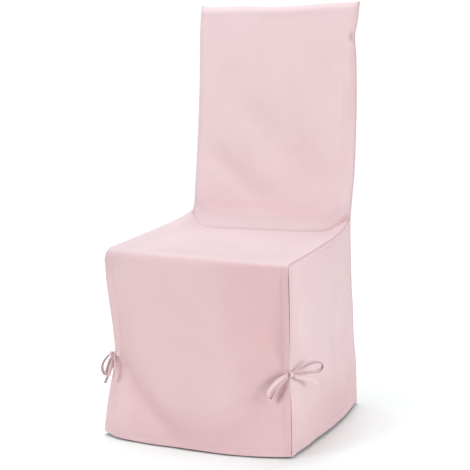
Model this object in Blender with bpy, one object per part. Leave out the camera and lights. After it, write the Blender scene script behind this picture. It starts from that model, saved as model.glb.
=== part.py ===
# Fitted cotton cover: a seat with a drop to the floor, two skirt sides, a backrest bag and
# a full back, open at both front corners and closed there by tied bows.
# Metres, +Z up. The front faces -Y and the origin is on the floor.

import math
from collections import namedtuple

import bmesh
import bpy
from mathutils import Matrix, Vector

# Driving dimensions
CLOTH = 0.002
SEAM_GAP = 0.0004
SEAT_HEIGHT = 0.447
SEAT_FRONT_Y = -0.241
FRONT_EDGE_RADIUS_LEFT = 0.024
FRONT_EDGE_RADIUS_RIGHT = 0.008
SEAT_SAG = 0.004
SEAT_CLIMB = 0.050
LEFT_EDGE_RISE = 0.014
RIGHT_EDGE_RISE = 0.003
CREASE_SWEEP = 0.060
CORNER_GAPS = 4.0
TOP_EDGE_RADIUS = 0.016
BAG_HALF_WIDTH = 0.210
BAG_EDGE = 0.020
SLIT_WIDTH = 0.0020
HEM_LEVEL = 0.010
TIE_HEIGHT = 0.196
TAPE_WIDTH = 0.0075
TAPE_THICK = 0.0018
KNOT_OUT = 0.0048
LOBE_APART = 0.0062
LOBE_LONG = 0.0058
LOBE_DEEP = 0.0041
LOBE_TALL = 0.0052

# How forms spread and blend
FOLD_STEPS = 24
FOLD_END_SHARE = 0.35
FOLD_CALM_START = 0.01
FOLD_CALM_END = 0.10
FRONT_CALM_START = 0.02
SIDE_CALM_END = 0.08
EDGE_RISE_POWER = 6
BULGE_POWER = 3
BELLY_POWER = 1.3
SEAT_ROW_POWER = 1.6
SEAM_ROW_APART = 0.001
SHARP_ANGLE = 50.0

# The origin is on the floor under the middle of the whole; tables count from mid-seat.
MID_SEAT = Vector((-0.009, 0.003, 0.0))

# Grid of each sheet
SEAT_ROWS = 12
EDGE_ROWS = 5
DROP_ROWS = 18
SIDE_ROWS = 16
BACK_FLAT_COLUMNS = 12
BACK_EDGE_COLUMNS = 4
TOP_EDGE_ROWS = 4
TAPE_STEPS = 3
INSIDE_BACK_ROWS = 17
OUTER_BACK_ROWS = 24

Corner = namedtuple("Corner", "z right_x right_y left_x left_y front_bulge slit")
FRONT_CORNERS = (
    Corner(0.000, 0.2335, -0.226, -0.2425, -0.236, 0.034, 0.20),
    Corner(0.045, 0.2325, -0.227, -0.2385, -0.234, 0.032, 0.22),
    Corner(0.105, 0.2305, -0.228, -0.2290, -0.231, 0.028, 0.14),
    Corner(0.150, 0.2290, -0.229, -0.2200, -0.229, 0.025, 0.06),
    Corner(0.196, 0.2280, -0.230, -0.2140, -0.228, 0.021, 0.00),
    Corner(0.250, 0.2290, -0.234, -0.2155, -0.231, 0.016, 0.40),
    Corner(0.310, 0.2305, -0.238, -0.2205, -0.236, 0.011, 0.90),
    Corner(0.380, 0.2315, -0.241, -0.2265, -0.241, 0.006, 1.00),
    Corner(0.447, 0.2320, -0.241, -0.2280, -0.243, 0.003, 0.80),
)

Back = namedtuple("Back", "z left_x right_x front_y seam_y rear_y side_bulge")
BACK = (
    Back(0.000, -0.2210, 0.2215, 0.200, 0.230, 0.246, 0.010),
    Back(0.100, -0.2200, 0.2200, 0.197, 0.227, 0.243, 0.009),
    Back(0.170, -0.2190, 0.2150, 0.194, 0.224, 0.240, 0.008),
    Back(0.250, -0.2165, 0.2130, 0.190, 0.220, 0.236, 0.006),
    Back(0.310, -0.2135, 0.2105, 0.186, 0.216, 0.233, 0.004),
    Back(0.380, -0.2110, 0.2100, 0.182, 0.210, 0.229, 0.002),
    Back(0.457, -0.2090, 0.2110, 0.177, 0.202, 0.227, 0.000),
    Back(0.520, -0.2060, 0.2145, 0.180, 0.202, 0.228, 0.000),
    Back(0.600, -0.2030, 0.2190, 0.188, 0.208, 0.233, 0.000),
    Back(0.760, -0.2010, 0.2170, 0.204, 0.224, 0.243, 0.000),
    Back(0.870, -0.2030, 0.2115, 0.215, 0.234, 0.251, 0.000),
    Back(0.915, -0.2040, 0.2070, 0.219, 0.238, 0.254, 0.000),
    Back(0.950, -0.2035, 0.2110, 0.223, 0.241, 0.257, 0.000),
    Back(1.000, -0.2020, 0.2140, 0.228, 0.246, 0.262, 0.000),
)

# The crease between seat and inside back: low and forward in the middle, up at its ends.
Crease = namedtuple("Crease", "share y z")
CREASE = (
    Crease(-1.00, 0.168, 0.474),
    Crease(-0.93, 0.160, 0.4625),
    Crease(-0.84, 0.149, 0.449),
    Crease(-0.68, 0.135, 0.441),
    Crease(0.00, 0.134, 0.444),
    Crease(0.62, 0.144, 0.447),
    Crease(0.80, 0.151, 0.451),
    Crease(0.92, 0.160, 0.4635),
    Crease(1.00, 0.168, 0.476),
)

# How far the hem stands off the floor along the front, from its left to its right edge.
Hem = namedtuple("Hem", "u z")
FRONT_HEM = (
    Hem(0.00, 0.007),
    Hem(0.05, 0.003),
    Hem(0.12, 0.001),
    Hem(0.30, 0.000),
    Hem(0.50, 0.001),
    Hem(0.75, 0.000),
    Hem(0.95, 0.001),
    Hem(1.00, 0.002),
)

Top = namedtuple("Top", "x z")
TOP_EDGE = (
    Top(-0.210, 0.984),
    Top(-0.190, 0.981),
    Top(-0.100, 0.984),
    Top(0.000, 0.982),
    Top(0.050, 0.984),
    Top(0.090, 0.989),
    Top(0.140, 0.996),
    Top(0.185, 0.998),
    Top(0.217, 1.000),
)

# A fold is a soft ridge or trough: it runs from a start over a middle to an end in the
# panel's own plane, and lifts the cloth by its height, less towards both ends.
Fold = namedtuple("Fold", "start middle end width height")
FRONT_FOLDS = (
    Fold((-0.200, 0.215), (-0.150, 0.100), (-0.050, 0.030), 0.026, -0.009),
    Fold((-0.225, 0.180), (-0.215, 0.080), (-0.185, 0.000), 0.030, 0.006),
    Fold((0.215, 0.190), (0.140, 0.110), (0.040, 0.030), 0.028, -0.008),
    Fold((0.205, 0.350), (0.175, 0.270), (0.215, 0.205), 0.035, -0.006),
    Fold((-0.205, 0.340), (-0.190, 0.270), (-0.200, 0.210), 0.030, -0.005),
    Fold((0.060, 0.240), (0.020, 0.130), (0.050, 0.010), 0.060, 0.005),
)
RIGHT_FOLDS = (
    Fold((-0.165, 0.370), (-0.160, 0.300), (-0.190, 0.215), 0.022, -0.006),
    Fold((-0.200, 0.180), (-0.120, 0.165), (0.000, 0.130), 0.028, -0.006),
    Fold((0.080, 0.300), (0.090, 0.180), (0.060, 0.050), 0.035, -0.005),
    Fold((-0.190, 0.130), (-0.150, 0.060), (-0.140, 0.000), 0.035, 0.006),
)
LEFT_FOLDS = (
    Fold((-0.160, 0.350), (-0.150, 0.280), (-0.190, 0.210), 0.026, -0.006),
    Fold((-0.190, 0.180), (-0.110, 0.140), (-0.020, 0.040), 0.030, -0.007),
    Fold((0.100, 0.320), (0.070, 0.180), (0.100, 0.030), 0.040, -0.004),
)
INSIDE_BACK_FOLDS = (
    Fold((-0.170, 0.640), (-0.110, 0.570), (-0.040, 0.530), 0.030, -0.004),
    Fold((0.000, 0.690), (0.080, 0.600), (0.170, 0.560), 0.060, -0.005),
    Fold((-0.090, 0.760), (-0.020, 0.690), (0.010, 0.640), 0.035, -0.003),
)
OUTER_BACK_FOLDS = (
    Fold((-0.120, 0.520), (-0.100, 0.300), (-0.120, 0.020), 0.050, 0.007),
    Fold((0.060, 0.480), (0.050, 0.250), (0.070, 0.010), 0.045, 0.006),
    Fold((-0.030, 0.440), (-0.030, 0.220), (-0.010, 0.010), 0.040, -0.006),
    Fold((0.140, 0.600), (0.135, 0.330), (0.150, 0.030), 0.035, -0.005),
)


def read(rows, column, at):
    """A column of a table at any place, on a smooth curve through its rows."""
    keys = [row[0] for row in rows]
    values = [getattr(row, column) for row in rows]
    if at <= keys[0]:
        return values[0]
    if at >= keys[-1]:
        return values[-1]
    last = len(keys) - 1
    low = max(index for index in range(last) if keys[index] <= at)
    span = keys[low + 1] - keys[low]
    slopes = []
    for index in (low, low + 1):
        before = max(index - 1, 0)
        after = min(index + 1, last)
        slopes.append((values[after] - values[before]) / (keys[after] - keys[before]))
    t = (at - keys[low]) / span
    rise = values[low + 1] - values[low]
    ease = t * t * (3.0 - 2.0 * t)
    lead_in = t * (1.0 - t) ** 2 * (slopes[0] * span)
    lead_out = t * t * (t - 1.0) * (slopes[1] * span)
    return values[low] + rise * ease + lead_in + lead_out


def mix(low, high, share):
    return low + (high - low) * share


def smooth_step(value, start, end):
    share = min(max((value - start) / (end - start), 0.0), 1.0)
    return share * share * (3.0 - 2.0 * share)


def fold_height(folds, across, up):
    """How far all folds of a panel lift one of its points."""
    height = 0.0
    for fold in folds:
        nearest = None
        for step in range(FOLD_STEPS + 1):
            t = step / FOLD_STEPS
            a = (1.0 - t) ** 2
            b = 2.0 * t * (1.0 - t)
            c = t * t
            x = a * fold.start[0] + b * fold.middle[0] + c * fold.end[0]
            z = a * fold.start[1] + b * fold.middle[1] + c * fold.end[1]
            distance = math.hypot(across - x, up - z)
            if nearest is None or distance < nearest[0]:
                nearest = (distance, t)
        fade = mix(FOLD_END_SHARE, 1.0, math.sin(math.pi * nearest[1]))
        height += fold.height * fade * math.exp(-((nearest[0] / fold.width) ** 2))
    return height


def material(name, colour, roughness):
    made = bpy.data.materials.new(name)
    made.use_nodes = True
    shader = made.node_tree.nodes["Principled BSDF"]
    shader.inputs["Base Color"].default_value = (*colour, 1.0)
    shader.inputs["Roughness"].default_value = roughness
    shader.inputs["Metallic"].default_value = 0.0
    return made


def add_object(name, mesh, finish):
    made = bpy.data.objects.new(name, mesh)
    made.location = MID_SEAT
    bpy.context.scene.collection.objects.link(made)
    mesh.materials.append(finish)
    return made


def sheet_normals(outside, outward, butts):
    """Outward directions of a grid; square on the edges where it butts its neighbour."""
    rows = len(outside)
    columns = len(outside[0])
    normals = []
    for i in range(rows):
        line = []
        for j in range(columns):
            across = outside[i][min(j + 1, columns - 1)] - outside[i][max(j - 1, 0)]
            along = outside[min(i + 1, rows - 1)][j] - outside[max(i - 1, 0)][j]
            normal = across.cross(along) * outward
            on_side = j == 0 and "first" in butts or j == columns - 1 and "last" in butts
            on_top = i == rows - 1 and "top" in butts
            if on_side or on_top or i == 0 and "rear" in butts:
                normal.y = 0.0
            if outside[i][j].z < HEM_LEVEL or i == 0 and "foot" in butts:
                normal.z = 0.0
            line.append(normal.normalized())
        normals.append(line)
    if "top" in butts:
        for j, beside in ((0, 1), (columns - 1, columns - 2)):
            normals[-1][j] = (normals[-1][beside] + normals[-2][j]).normalized()
    return normals


def sheet(name, outside, outward, finish, butts=()):
    """A closed sheet of cloth whose outer face is a grid of points; outward is +1 or -1."""
    rows = len(outside)
    columns = len(outside[0])
    normals = sheet_normals(outside, outward, butts)
    inside = [
        [outside[i][j] - normals[i][j] * CLOTH for j in range(columns)] for i in range(rows)
    ]
    mesh = bpy.data.meshes.new(name)
    build = bmesh.new()
    top = [[build.verts.new(point) for point in line] for line in outside]
    under = [[build.verts.new(point) for point in line] for line in inside]
    for i in range(rows - 1):
        for j in range(columns - 1):
            build.faces.new((top[i][j], top[i][j + 1], top[i + 1][j + 1], top[i + 1][j]))
            build.faces.new((under[i][j], under[i + 1][j], under[i + 1][j + 1], under[i][j + 1]))
    for i in range(rows - 1):
        build.faces.new((top[i][0], top[i + 1][0], under[i + 1][0], under[i][0]))
        build.faces.new((top[i + 1][-1], top[i][-1], under[i][-1], under[i + 1][-1]))
    for j in range(columns - 1):
        build.faces.new((top[0][j + 1], top[0][j], under[0][j], under[0][j + 1]))
        build.faces.new((top[-1][j], top[-1][j + 1], under[-1][j + 1], under[-1][j]))
    if outward < 0:
        bmesh.ops.reverse_faces(build, faces=build.faces)
    build.to_mesh(mesh)
    build.free()
    mesh.shade_smooth()
    mesh.set_sharp_from_angle(angle=math.radians(SHARP_ANGLE))
    return add_object(name, mesh, finish)


def crease_point(share):
    z = read(CREASE, "z", share)
    x = mix(read(BACK, "left_x", z), read(BACK, "right_x", z), (share + 1.0) / 2.0)
    y = mix(read(BACK, "seam_y", z), read(CREASE, "y", share), bag_fullness(share))
    return Vector((x, y, z))


def edge_radius(u):
    """Radius of the front edge: soft on the left, crisp at the right corner."""
    return mix(FRONT_EDGE_RADIUS_LEFT, FRONT_EDGE_RADIUS_RIGHT, u ** 5)


def seat_height(u, y):
    """Height of the seat: a little sag, edges that rise, and a climb into the crease."""
    rear = crease_point(2.0 * u - 1.0)
    share = (y - SEAT_FRONT_Y) / (rear.y - SEAT_FRONT_Y)
    edge = abs(2.0 * u - 1.0) ** EDGE_RISE_POWER
    rise = (LEFT_EDGE_RISE if u < 0.5 else RIGHT_EDGE_RISE) * edge * share
    level = SEAT_HEIGHT + rise - SEAT_SAG * math.sin(math.pi * u) * math.sin(math.pi * share)
    return mix(level, rear.z, math.exp(-(rear.y - y) / SEAT_CLIMB))


def front_point(u, z):
    """A point of the front drop at height z; u runs from the left to the right edge."""
    inset = CLOTH + 2.0 * SEAM_GAP + SLIT_WIDTH * read(FRONT_CORNERS, "slit", z)
    left_x = read(FRONT_CORNERS, "left_x", z) + inset
    right_x = read(FRONT_CORNERS, "right_x", z) - inset
    left_y = read(FRONT_CORNERS, "left_y", z)
    right_y = read(FRONT_CORNERS, "right_y", z)
    x = mix(left_x, right_x, u)
    y = mix(left_y, right_y, u)
    plateau = 1.0 - abs(2.0 * u - 1.0) ** BULGE_POWER
    y -= read(FRONT_CORNERS, "front_bulge", z) * plateau
    calm = smooth_step(SEAT_HEIGHT - z, FRONT_CALM_START, FOLD_CALM_END)
    y -= fold_height(FRONT_FOLDS, x, z) * calm
    return Vector((x, y, z))


def seat_share(row):
    """Rows of the seat lie closer together near the crease."""
    return (row / SEAT_ROWS) ** SEAT_ROW_POWER


def seat_front_points():
    lines = []
    for i in range(SEAT_ROWS + EDGE_ROWS + DROP_ROWS + 1):
        line = []
        for station in bag_stations():
            u = (station + 1.0) / 2.0
            rear = crease_point(2.0 * u - 1.0)
            radius = edge_radius(u)
            start_z = SEAT_HEIGHT - radius
            front = front_point(u, start_z)
            front_y = front.y
            arc_y = front_y + radius
            if i <= SEAT_ROWS:
                share = seat_share(i)
                clear = SEAM_GAP * mix(CORNER_GAPS, 2.0, bag_fullness(station))
                y = mix(rear.y - clear, arc_y, share)
                x = mix(rear.x, front.x, share)
                line.append(Vector((x, y, seat_height(u, y))))
            elif i <= SEAT_ROWS + EDGE_ROWS:
                angle = math.radians(90.0) * (i - SEAT_ROWS) / EDGE_ROWS
                y = arc_y - radius * math.sin(angle)
                z = start_z + radius * math.cos(angle)
                line.append(Vector((front.x, y, z)))
            else:
                share = (i - SEAT_ROWS - EDGE_ROWS) / DROP_ROWS
                line.append(front_point(u, mix(start_z, read(FRONT_HEM, "z", u), share)))
        lines.append(line)
    return lines


def side_top(side, y):
    """Height of a skirt side's top edge, just under the seat's edge."""
    u = 0.0 if side < 0 else 1.0
    radius = edge_radius(u)
    rear = crease_point(side)
    start_z = SEAT_HEIGHT - radius
    arc_y = front_point(u, start_z).y + radius
    if y < arc_y:
        inner = radius - CLOTH - 2.0 * SEAM_GAP
        return start_z + math.sqrt(max(inner * inner - (arc_y - y) ** 2, 0.0))
    at = min(y, rear.y)
    edge = seat_height(u, at)
    along = (edge - seat_height(u, at - CLOTH)) / CLOTH
    inward = BAG_EDGE / (2.0 * BAG_HALF_WIDTH)
    across = (edge - seat_height(u - side * inward, at)) / BAG_EDGE
    across = max(across, 0.0)
    thickness = CLOTH * math.sqrt(1.0 + along * along + across * across)
    return edge - 2.0 * SEAM_GAP - CLOTH * across - thickness


def side_stations(side):
    """Places along a skirt side's top edge, under the rows of the seat's own edge."""
    u = 0.0 if side < 0 else 1.0
    edge = "left" if side < 0 else "right"
    radius = edge_radius(u)
    start_z = SEAT_HEIGHT - radius
    arc_y = front_point(u, start_z).y + radius
    rear_y = crease_point(side).y
    first = read(FRONT_CORNERS, edge + "_y", SEAT_HEIGHT) + SEAM_GAP + SLIT_WIDTH
    places = [arc_y - radius * math.sin(math.radians(90.0) * k / EDGE_ROWS) for k in (3, 2, 1)]
    seat_end = rear_y - 2.0 * SEAM_GAP
    places += [mix(seat_end, arc_y, seat_share(k)) for k in range(SEAT_ROWS, 0, -1)]
    shares = [0.0]
    for y in places:
        if y < first + SEAM_ROW_APART:
            continue
        z = side_top(side, y)
        front_y = side_point(side, 0.0, z, ()).y
        end_y = side_point(side, 1.0, z, ()).y
        shares.append((y - front_y) / (end_y - front_y))
    return shares + [1.0]


def side_point(side, u, z, folds):
    """A point of a skirt side; u runs from the open front edge to the seam at the back."""
    edge = "right" if side > 0 else "left"
    front_x = read(FRONT_CORNERS, edge + "_x", z)
    front_y = read(FRONT_CORNERS, edge + "_y", z)
    front_y += SEAM_GAP + SLIT_WIDTH * read(FRONT_CORNERS, "slit", z)
    rear_x = read(BACK, edge + "_x", z)
    rear_y = read(BACK, "seam_y", z) - SEAM_GAP / 2.0
    x = mix(front_x, rear_x, u)
    y = mix(front_y, rear_y, u)
    belly = math.sin(math.pi * u ** BELLY_POWER)
    x += side * read(BACK, "side_bulge", z) * belly
    calm = math.sqrt(math.sin(math.pi * u)) * smooth_step(
        SEAT_HEIGHT - z, FOLD_CALM_START, SIDE_CALM_END
    )
    x += side * fold_height(folds, y, z) * calm
    return Vector((x, y, z))


def side_points(side, folds):
    columns = []
    for u in side_stations(side):
        column = []
        top = SEAT_HEIGHT
        for _ in range(3):
            top = side_top(side, side_point(side, u, top, folds).y)
        for i in range(SIDE_ROWS + 1):
            column.append(side_point(side, u, top * (1.0 - i / SIDE_ROWS), folds))
        columns.append(column)
    return [list(line) for line in zip(*columns)]


def bag_stations():
    """Places across the backrest, from -1 to 1, closer together round its edges."""
    edge = []
    for step in range(1, BACK_EDGE_COLUMNS + 1):
        angle = math.radians(90.0) * step / BACK_EDGE_COLUMNS
        edge.append(1.0 - BAG_EDGE * (1.0 - math.sin(angle)) / BAG_HALF_WIDTH)
    flat = 1.0 - BAG_EDGE / BAG_HALF_WIDTH
    middle = [flat * (2.0 * j / BACK_FLAT_COLUMNS - 1.0) for j in range(BACK_FLAT_COLUMNS + 1)]
    return [-share for share in reversed(edge)] + middle + edge


def bag_fullness(share):
    """How full the bag is across its width: 1 on its flat, 0 at the side seams."""
    from_seam = BAG_HALF_WIDTH * (1.0 - abs(share))
    into_edge = max(1.0 - from_seam / BAG_EDGE, 0.0)
    return math.sqrt(max(1.0 - into_edge * into_edge, 0.0))


def top_fullness(below_top):
    """How full the bag is under its top seam: 1 below the rounded edge, 0 at the seam."""
    into_edge = max(1.0 - below_top / TOP_EDGE_RADIUS, 0.0)
    return math.sqrt(max(1.0 - into_edge * into_edge, 0.0))


def bag_heights(bottom, top, rows):
    """Heights from the bottom to the top seam, closer together round the top edge."""
    start = top - TOP_EDGE_RADIUS
    body = [mix(bottom, start, i / rows) for i in range(rows + 1)]
    for step in range(1, TOP_EDGE_ROWS + 1):
        angle = math.radians(90.0) * step / TOP_EDGE_ROWS
        body.append(start + TOP_EDGE_RADIUS * math.sin(angle))
    return body


def back_point(share, z, top, face, folds):
    """A point of the bag: face -1 is its front, +1 its rear."""
    column = "front_y" if face < 0 else "rear_y"
    x = mix(read(BACK, "left_x", z), read(BACK, "right_x", z), (share + 1.0) / 2.0)
    seam_y = read(BACK, "seam_y", z)
    depth = abs(read(BACK, column, z) - seam_y)
    full = bag_fullness(share) * top_fullness(top - z)
    y = seam_y + face * (depth * full + SEAM_GAP / 2.0)
    calm = full * smooth_step(top - z, FOLD_CALM_START, FOLD_CALM_END)
    y += face * fold_height(folds, x, z) * calm
    return Vector((x, y, z))


def top_of_bag(share):
    x = mix(BACK[-1].left_x, BACK[-1].right_x, (share + 1.0) / 2.0)
    return read(TOP_EDGE, "z", x)


def inside_back_points():
    columns = []
    for share in bag_stations():
        crease = crease_point(share)
        top = top_of_bag(share)
        start = back_point(share, crease.z, top, -1, INSIDE_BACK_FOLDS)
        forward = start.y - crease.y
        column = []
        for z in bag_heights(crease.z, top, INSIDE_BACK_ROWS):
            point = back_point(share, z, top, -1, INSIDE_BACK_FOLDS)
            lean = max(1.0 - (z - crease.z) / CREASE_SWEEP, 0.0) ** 2
            point.y -= forward * lean
            column.append(point)
        columns.append(column)
    return [list(line) for line in zip(*columns)]


def outer_back_points():
    columns = []
    for share in bag_stations():
        top = top_of_bag(share)
        heights = bag_heights(0.0, top, OUTER_BACK_ROWS)
        columns.append([back_point(share, z, top, 1, OUTER_BACK_FOLDS) for z in heights])
    return [list(line) for line in zip(*columns)]


# Tapes of the bows. Each path counts from the corner at the height of the tie: how far the
# point is out from the skirt side, how far in front of the front drop, and how far above.
# The turn is how far the tape's face has rolled round its own line, in degrees.
Tape = namedtuple("Tape", "out front rise turn")
RIGHT_SIDE_LOOP = (
    Tape(0.0078, -0.0010, 0.0018, 90),
    Tape(0.0140, -0.0200, 0.0090, 60),
    Tape(0.0230, -0.0430, 0.0180, 50),
    Tape(0.0340, -0.0680, 0.0210, 65),
    Tape(0.0415, -0.0850, 0.0120, 90),
    Tape(0.0400, -0.0850, 0.0010, 100),
    Tape(0.0330, -0.0690, -0.0055, 120),
    Tape(0.0220, -0.0420, -0.0040, 130),
    Tape(0.0140, -0.0180, -0.0030, 115),
    Tape(0.0080, -0.0010, -0.0018, 90),
)
RIGHT_SIDE_TAIL = (
    Tape(0.0078, -0.0010, -0.0015, 20),
    Tape(0.0120, -0.0180, -0.0110, 15),
    Tape(0.0240, -0.0560, -0.0210, 30),
    Tape(0.0320, -0.0860, -0.0360, 45),
)
RIGHT_FRONT_LOOP = (
    Tape(-0.0010, 0.0078, 0.0018, 90),
    Tape(-0.0130, 0.0140, 0.0000, 60),
    Tape(-0.0290, 0.0200, -0.0130, 50),
    Tape(-0.0450, 0.0240, -0.0300, 65),
    Tape(-0.0490, 0.0240, -0.0400, 90),
    Tape(-0.0410, 0.0220, -0.0490, 115),
    Tape(-0.0300, 0.0200, -0.0380, 130),
    Tape(-0.0220, 0.0170, -0.0250, 130),
    Tape(-0.0110, 0.0120, -0.0110, 115),
    Tape(-0.0010, 0.0078, -0.0018, 90),
)
RIGHT_FRONT_TAIL = (
    Tape(-0.0010, 0.0078, -0.0015, 20),
    Tape(-0.0040, 0.0120, -0.0150, 15),
    Tape(-0.0120, 0.0150, -0.0360, 25),
    Tape(-0.0220, 0.0170, -0.0530, 35),
    Tape(-0.0320, 0.0190, -0.0700, 45),
)
LEFT_SIDE_LOOP = (
    Tape(0.0078, -0.0010, 0.0018, 90),
    Tape(0.0210, -0.0030, -0.0050, 60),
    Tape(0.0330, -0.0060, -0.0180, 55),
    Tape(0.0385, -0.0080, -0.0330, 70),
    Tape(0.0370, -0.0090, -0.0440, 95),
    Tape(0.0300, -0.0070, -0.0510, 115),
    Tape(0.0230, -0.0050, -0.0420, 125),
    Tape(0.0170, -0.0040, -0.0280, 125),
    Tape(0.0110, -0.0020, -0.0120, 110),
    Tape(0.0075, -0.0010, -0.0020, 90),
)
LEFT_SIDE_TAIL = (
    Tape(0.0078, -0.0010, -0.0015, 20),
    Tape(0.0120, -0.0110, -0.0160, 15),
    Tape(0.0250, -0.0170, -0.0500, 30),
    Tape(0.0340, -0.0180, -0.0720, 40),
)
LEFT_FRONT_LOOP = (
    Tape(-0.0005, 0.0072, 0.0018, 90),
    Tape(0.0070, 0.0100, -0.0120, 75),
    Tape(0.0140, 0.0100, -0.0300, 60),
    Tape(0.0170, 0.0100, -0.0450, 80),
    Tape(0.0120, 0.0120, -0.0530, 100),
    Tape(0.0060, 0.0150, -0.0410, 115),
    Tape(0.0010, 0.0140, -0.0220, 110),
    Tape(-0.0020, 0.0090, -0.0030, 90),
)
LEFT_FRONT_TAIL = (
    Tape(-0.0010, 0.0078, -0.0010, 20),
    Tape(-0.0070, 0.0140, -0.0160, 15),
    Tape(-0.0110, 0.0180, -0.0380, 20),
    Tape(-0.0100, 0.0210, -0.0600, 30),
)


def tie_place(side, out, front, rise):
    """A place near a tied corner; side is +1 on the right and -1 on the left."""
    edge = "right" if side > 0 else "left"
    corner_x = read(FRONT_CORNERS, edge + "_x", TIE_HEIGHT)
    corner_y = read(FRONT_CORNERS, edge + "_y", TIE_HEIGHT)
    return Vector((corner_x + side * out, corner_y - front, TIE_HEIGHT + rise))


def curve_through(points, steps):
    """A smooth row of points through the given ones."""
    made = []
    last = len(points) - 1
    for index in range(last):
        before = points[max(index - 1, 0)]
        start = points[index]
        end = points[index + 1]
        after = points[min(index + 2, last)]
        for step in range(steps):
            t = step / steps
            even = 2.0 * start + (end - before) * t
            bend = (2.0 * before - 5.0 * start + 4.0 * end - after) * t * t
            twist = (3.0 * start - before - 3.0 * end + after) * t ** 3
            made.append((even + bend + twist) / 2.0)
    made.append(points[-1].copy())
    return made


def tape(name, points, turns, facing):
    """A flat tape along a path, its face towards facing but for its turns in degrees."""
    line = curve_through(points, TAPE_STEPS)
    roll = [turn.x for turn in curve_through([Vector((t, 0.0, 0.0)) for t in turns], TAPE_STEPS)]
    mesh = bpy.data.meshes.new(name)
    build = bmesh.new()
    rings = []
    for i, point in enumerate(line):
        along = (line[min(i + 1, len(line) - 1)] - line[max(i - 1, 0)]).normalized()
        across = along.cross(facing).normalized()
        face = across.cross(along)
        angle = math.radians(roll[i])
        wide = across * math.cos(angle) + face * math.sin(angle)
        thick = wide.cross(along)
        ring = []
        for a, b in ((-1, -1), (1, -1), (1, 1), (-1, 1)):
            offset = wide * (a * TAPE_WIDTH / 2.0) + thick * (b * TAPE_THICK / 2.0)
            ring.append(build.verts.new(point + offset))
        rings.append(ring)
    for ring, following in zip(rings, rings[1:]):
        for k in range(4):
            n = (k + 1) % 4
            build.faces.new((ring[n], ring[k], following[k], following[n]))
    build.faces.new(rings[0])
    build.faces.new(reversed(rings[-1]))
    build.to_mesh(mesh)
    build.free()
    return mesh


def hidden_tool(name, mesh):
    made = bpy.data.objects.new(name, mesh)
    made.location = MID_SEAT
    made.hide_render = True
    made.display_type = "WIRE"
    bpy.context.scene.collection.objects.link(made)
    return made


def tie(name, side, on_front, loop, tail, finish):
    """One tape, sewn to its panel's edge, with its half of the knot, a loop and a tail."""
    diagonal = math.sqrt(0.5)
    facing = Vector((side * diagonal, -diagonal, 0.0))
    apart = -LOBE_APART if on_front else LOBE_APART
    lobe = tie_place(
        side, diagonal * (KNOT_OUT + apart), diagonal * (KNOT_OUT - apart), 0.0
    )
    mesh = bpy.data.meshes.new(name)
    build = bmesh.new()
    bmesh.ops.create_icosphere(build, subdivisions=2, radius=1.0)
    bmesh.ops.scale(build, verts=build.verts, vec=(LOBE_LONG, LOBE_DEEP, LOBE_TALL))
    turned = Matrix.Rotation(side * math.radians(45.0), 4, "Z")
    bmesh.ops.transform(build, verts=build.verts, matrix=Matrix.Translation(lobe) @ turned)
    build.to_mesh(mesh)
    build.free()
    made = add_object(name, mesh, finish)

    paths = {"loop": loop, "tail": tail}
    rest = TAPE_THICK / 2.0 + 2.0 * SEAM_GAP
    lead = []
    for distance, lift in ((0.001, 0.0040), (0.004, 0.0014), (0.007, 0.0), (0.012, 0.0)):
        if on_front:
            point = front_face(side, distance + CLOTH, rest + lift)
        else:
            point = tie_place(side, rest + lift, -distance, 0.0)
        lead.append(point)
    lead.insert(0, lobe)
    lead_facing = Vector((0.0, -1.0, 0.0)) if on_front else Vector((side, 0.0, 0.0))
    tools = [hidden_tool(name + " lead", tape(name + " lead", lead, [0] * 5, lead_facing))]
    for label, path in paths.items():
        points = [tie_place(side, row.out, row.front, row.rise) for row in path]
        turns = [side * row.turn for row in path]
        label = name + " " + label
        tools.append(hidden_tool(label, tape(label, points, turns, facing)))
    for tool in tools:
        union = made.modifiers.new("join " + tool.name, "BOOLEAN")
        union.operation = "UNION"
        union.solver = "EXACT"
        union.object = tool
    return made


def front_face(side, distance, lift):
    """A place in front of the flat faces of the front drop, a distance in from its tied edge."""
    left_x = read(FRONT_CORNERS, "left_x", TIE_HEIGHT)
    right_x = read(FRONT_CORNERS, "right_x", TIE_HEIGHT)
    share = distance / (right_x - left_x)
    u = 1.0 - share if side > 0 else share
    places = [(station + 1.0) / 2.0 for station in bag_stations()]
    column = max(index for index in range(len(places) - 1) if places[index] <= u)
    ends = []
    for at in places[column:column + 2]:
        start_z = SEAT_HEIGHT - edge_radius(at)
        row_height = (start_z - read(FRONT_HEM, "z", at)) / DROP_ROWS
        above = start_z - row_height * int((start_z - TIE_HEIGHT) / row_height)
        below = above - row_height
        ends.append(
            front_point(at, above).lerp(front_point(at, below), (above - TIE_HEIGHT) / row_height)
        )
    between = (u - places[column]) / (places[column + 1] - places[column])
    point = ends[0].lerp(ends[1], between)
    return point - Vector((0.0, lift, 0.0))


def remove_all_objects():
    for thing in list(bpy.data.objects):
        bpy.data.objects.remove(thing, do_unlink=True)


def main():
    remove_all_objects()
    cotton = material("pink cotton", (0.80, 0.56, 0.59), 0.85)
    seams = ("first", "last", "top")
    sheet("seat_front_panel", seat_front_points(), -1, cotton, ("rear",))
    sheet("right_side_panel", side_points(1, RIGHT_FOLDS), -1, cotton, ("first", "last"))
    sheet("left_side_panel", side_points(-1, LEFT_FOLDS), 1, cotton, ("first", "last"))
    sheet("inside_back_panel", inside_back_points(), 1, cotton, (*seams, "foot"))
    sheet("outer_back_panel", outer_back_points(), -1, cotton, seams)
    tie("tie_right_front", 1, True, RIGHT_FRONT_LOOP, RIGHT_FRONT_TAIL, cotton)
    tie("tie_right_side", 1, False, RIGHT_SIDE_LOOP, RIGHT_SIDE_TAIL, cotton)
    tie("tie_left_front", -1, True, LEFT_FRONT_LOOP, LEFT_FRONT_TAIL, cotton)
    tie("tie_left_side", -1, False, LEFT_SIDE_LOOP, LEFT_SIDE_TAIL, cotton)


main()
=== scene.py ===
import math

import bpy
import numpy as np
from mathutils import Matrix, Vector, noise


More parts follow.
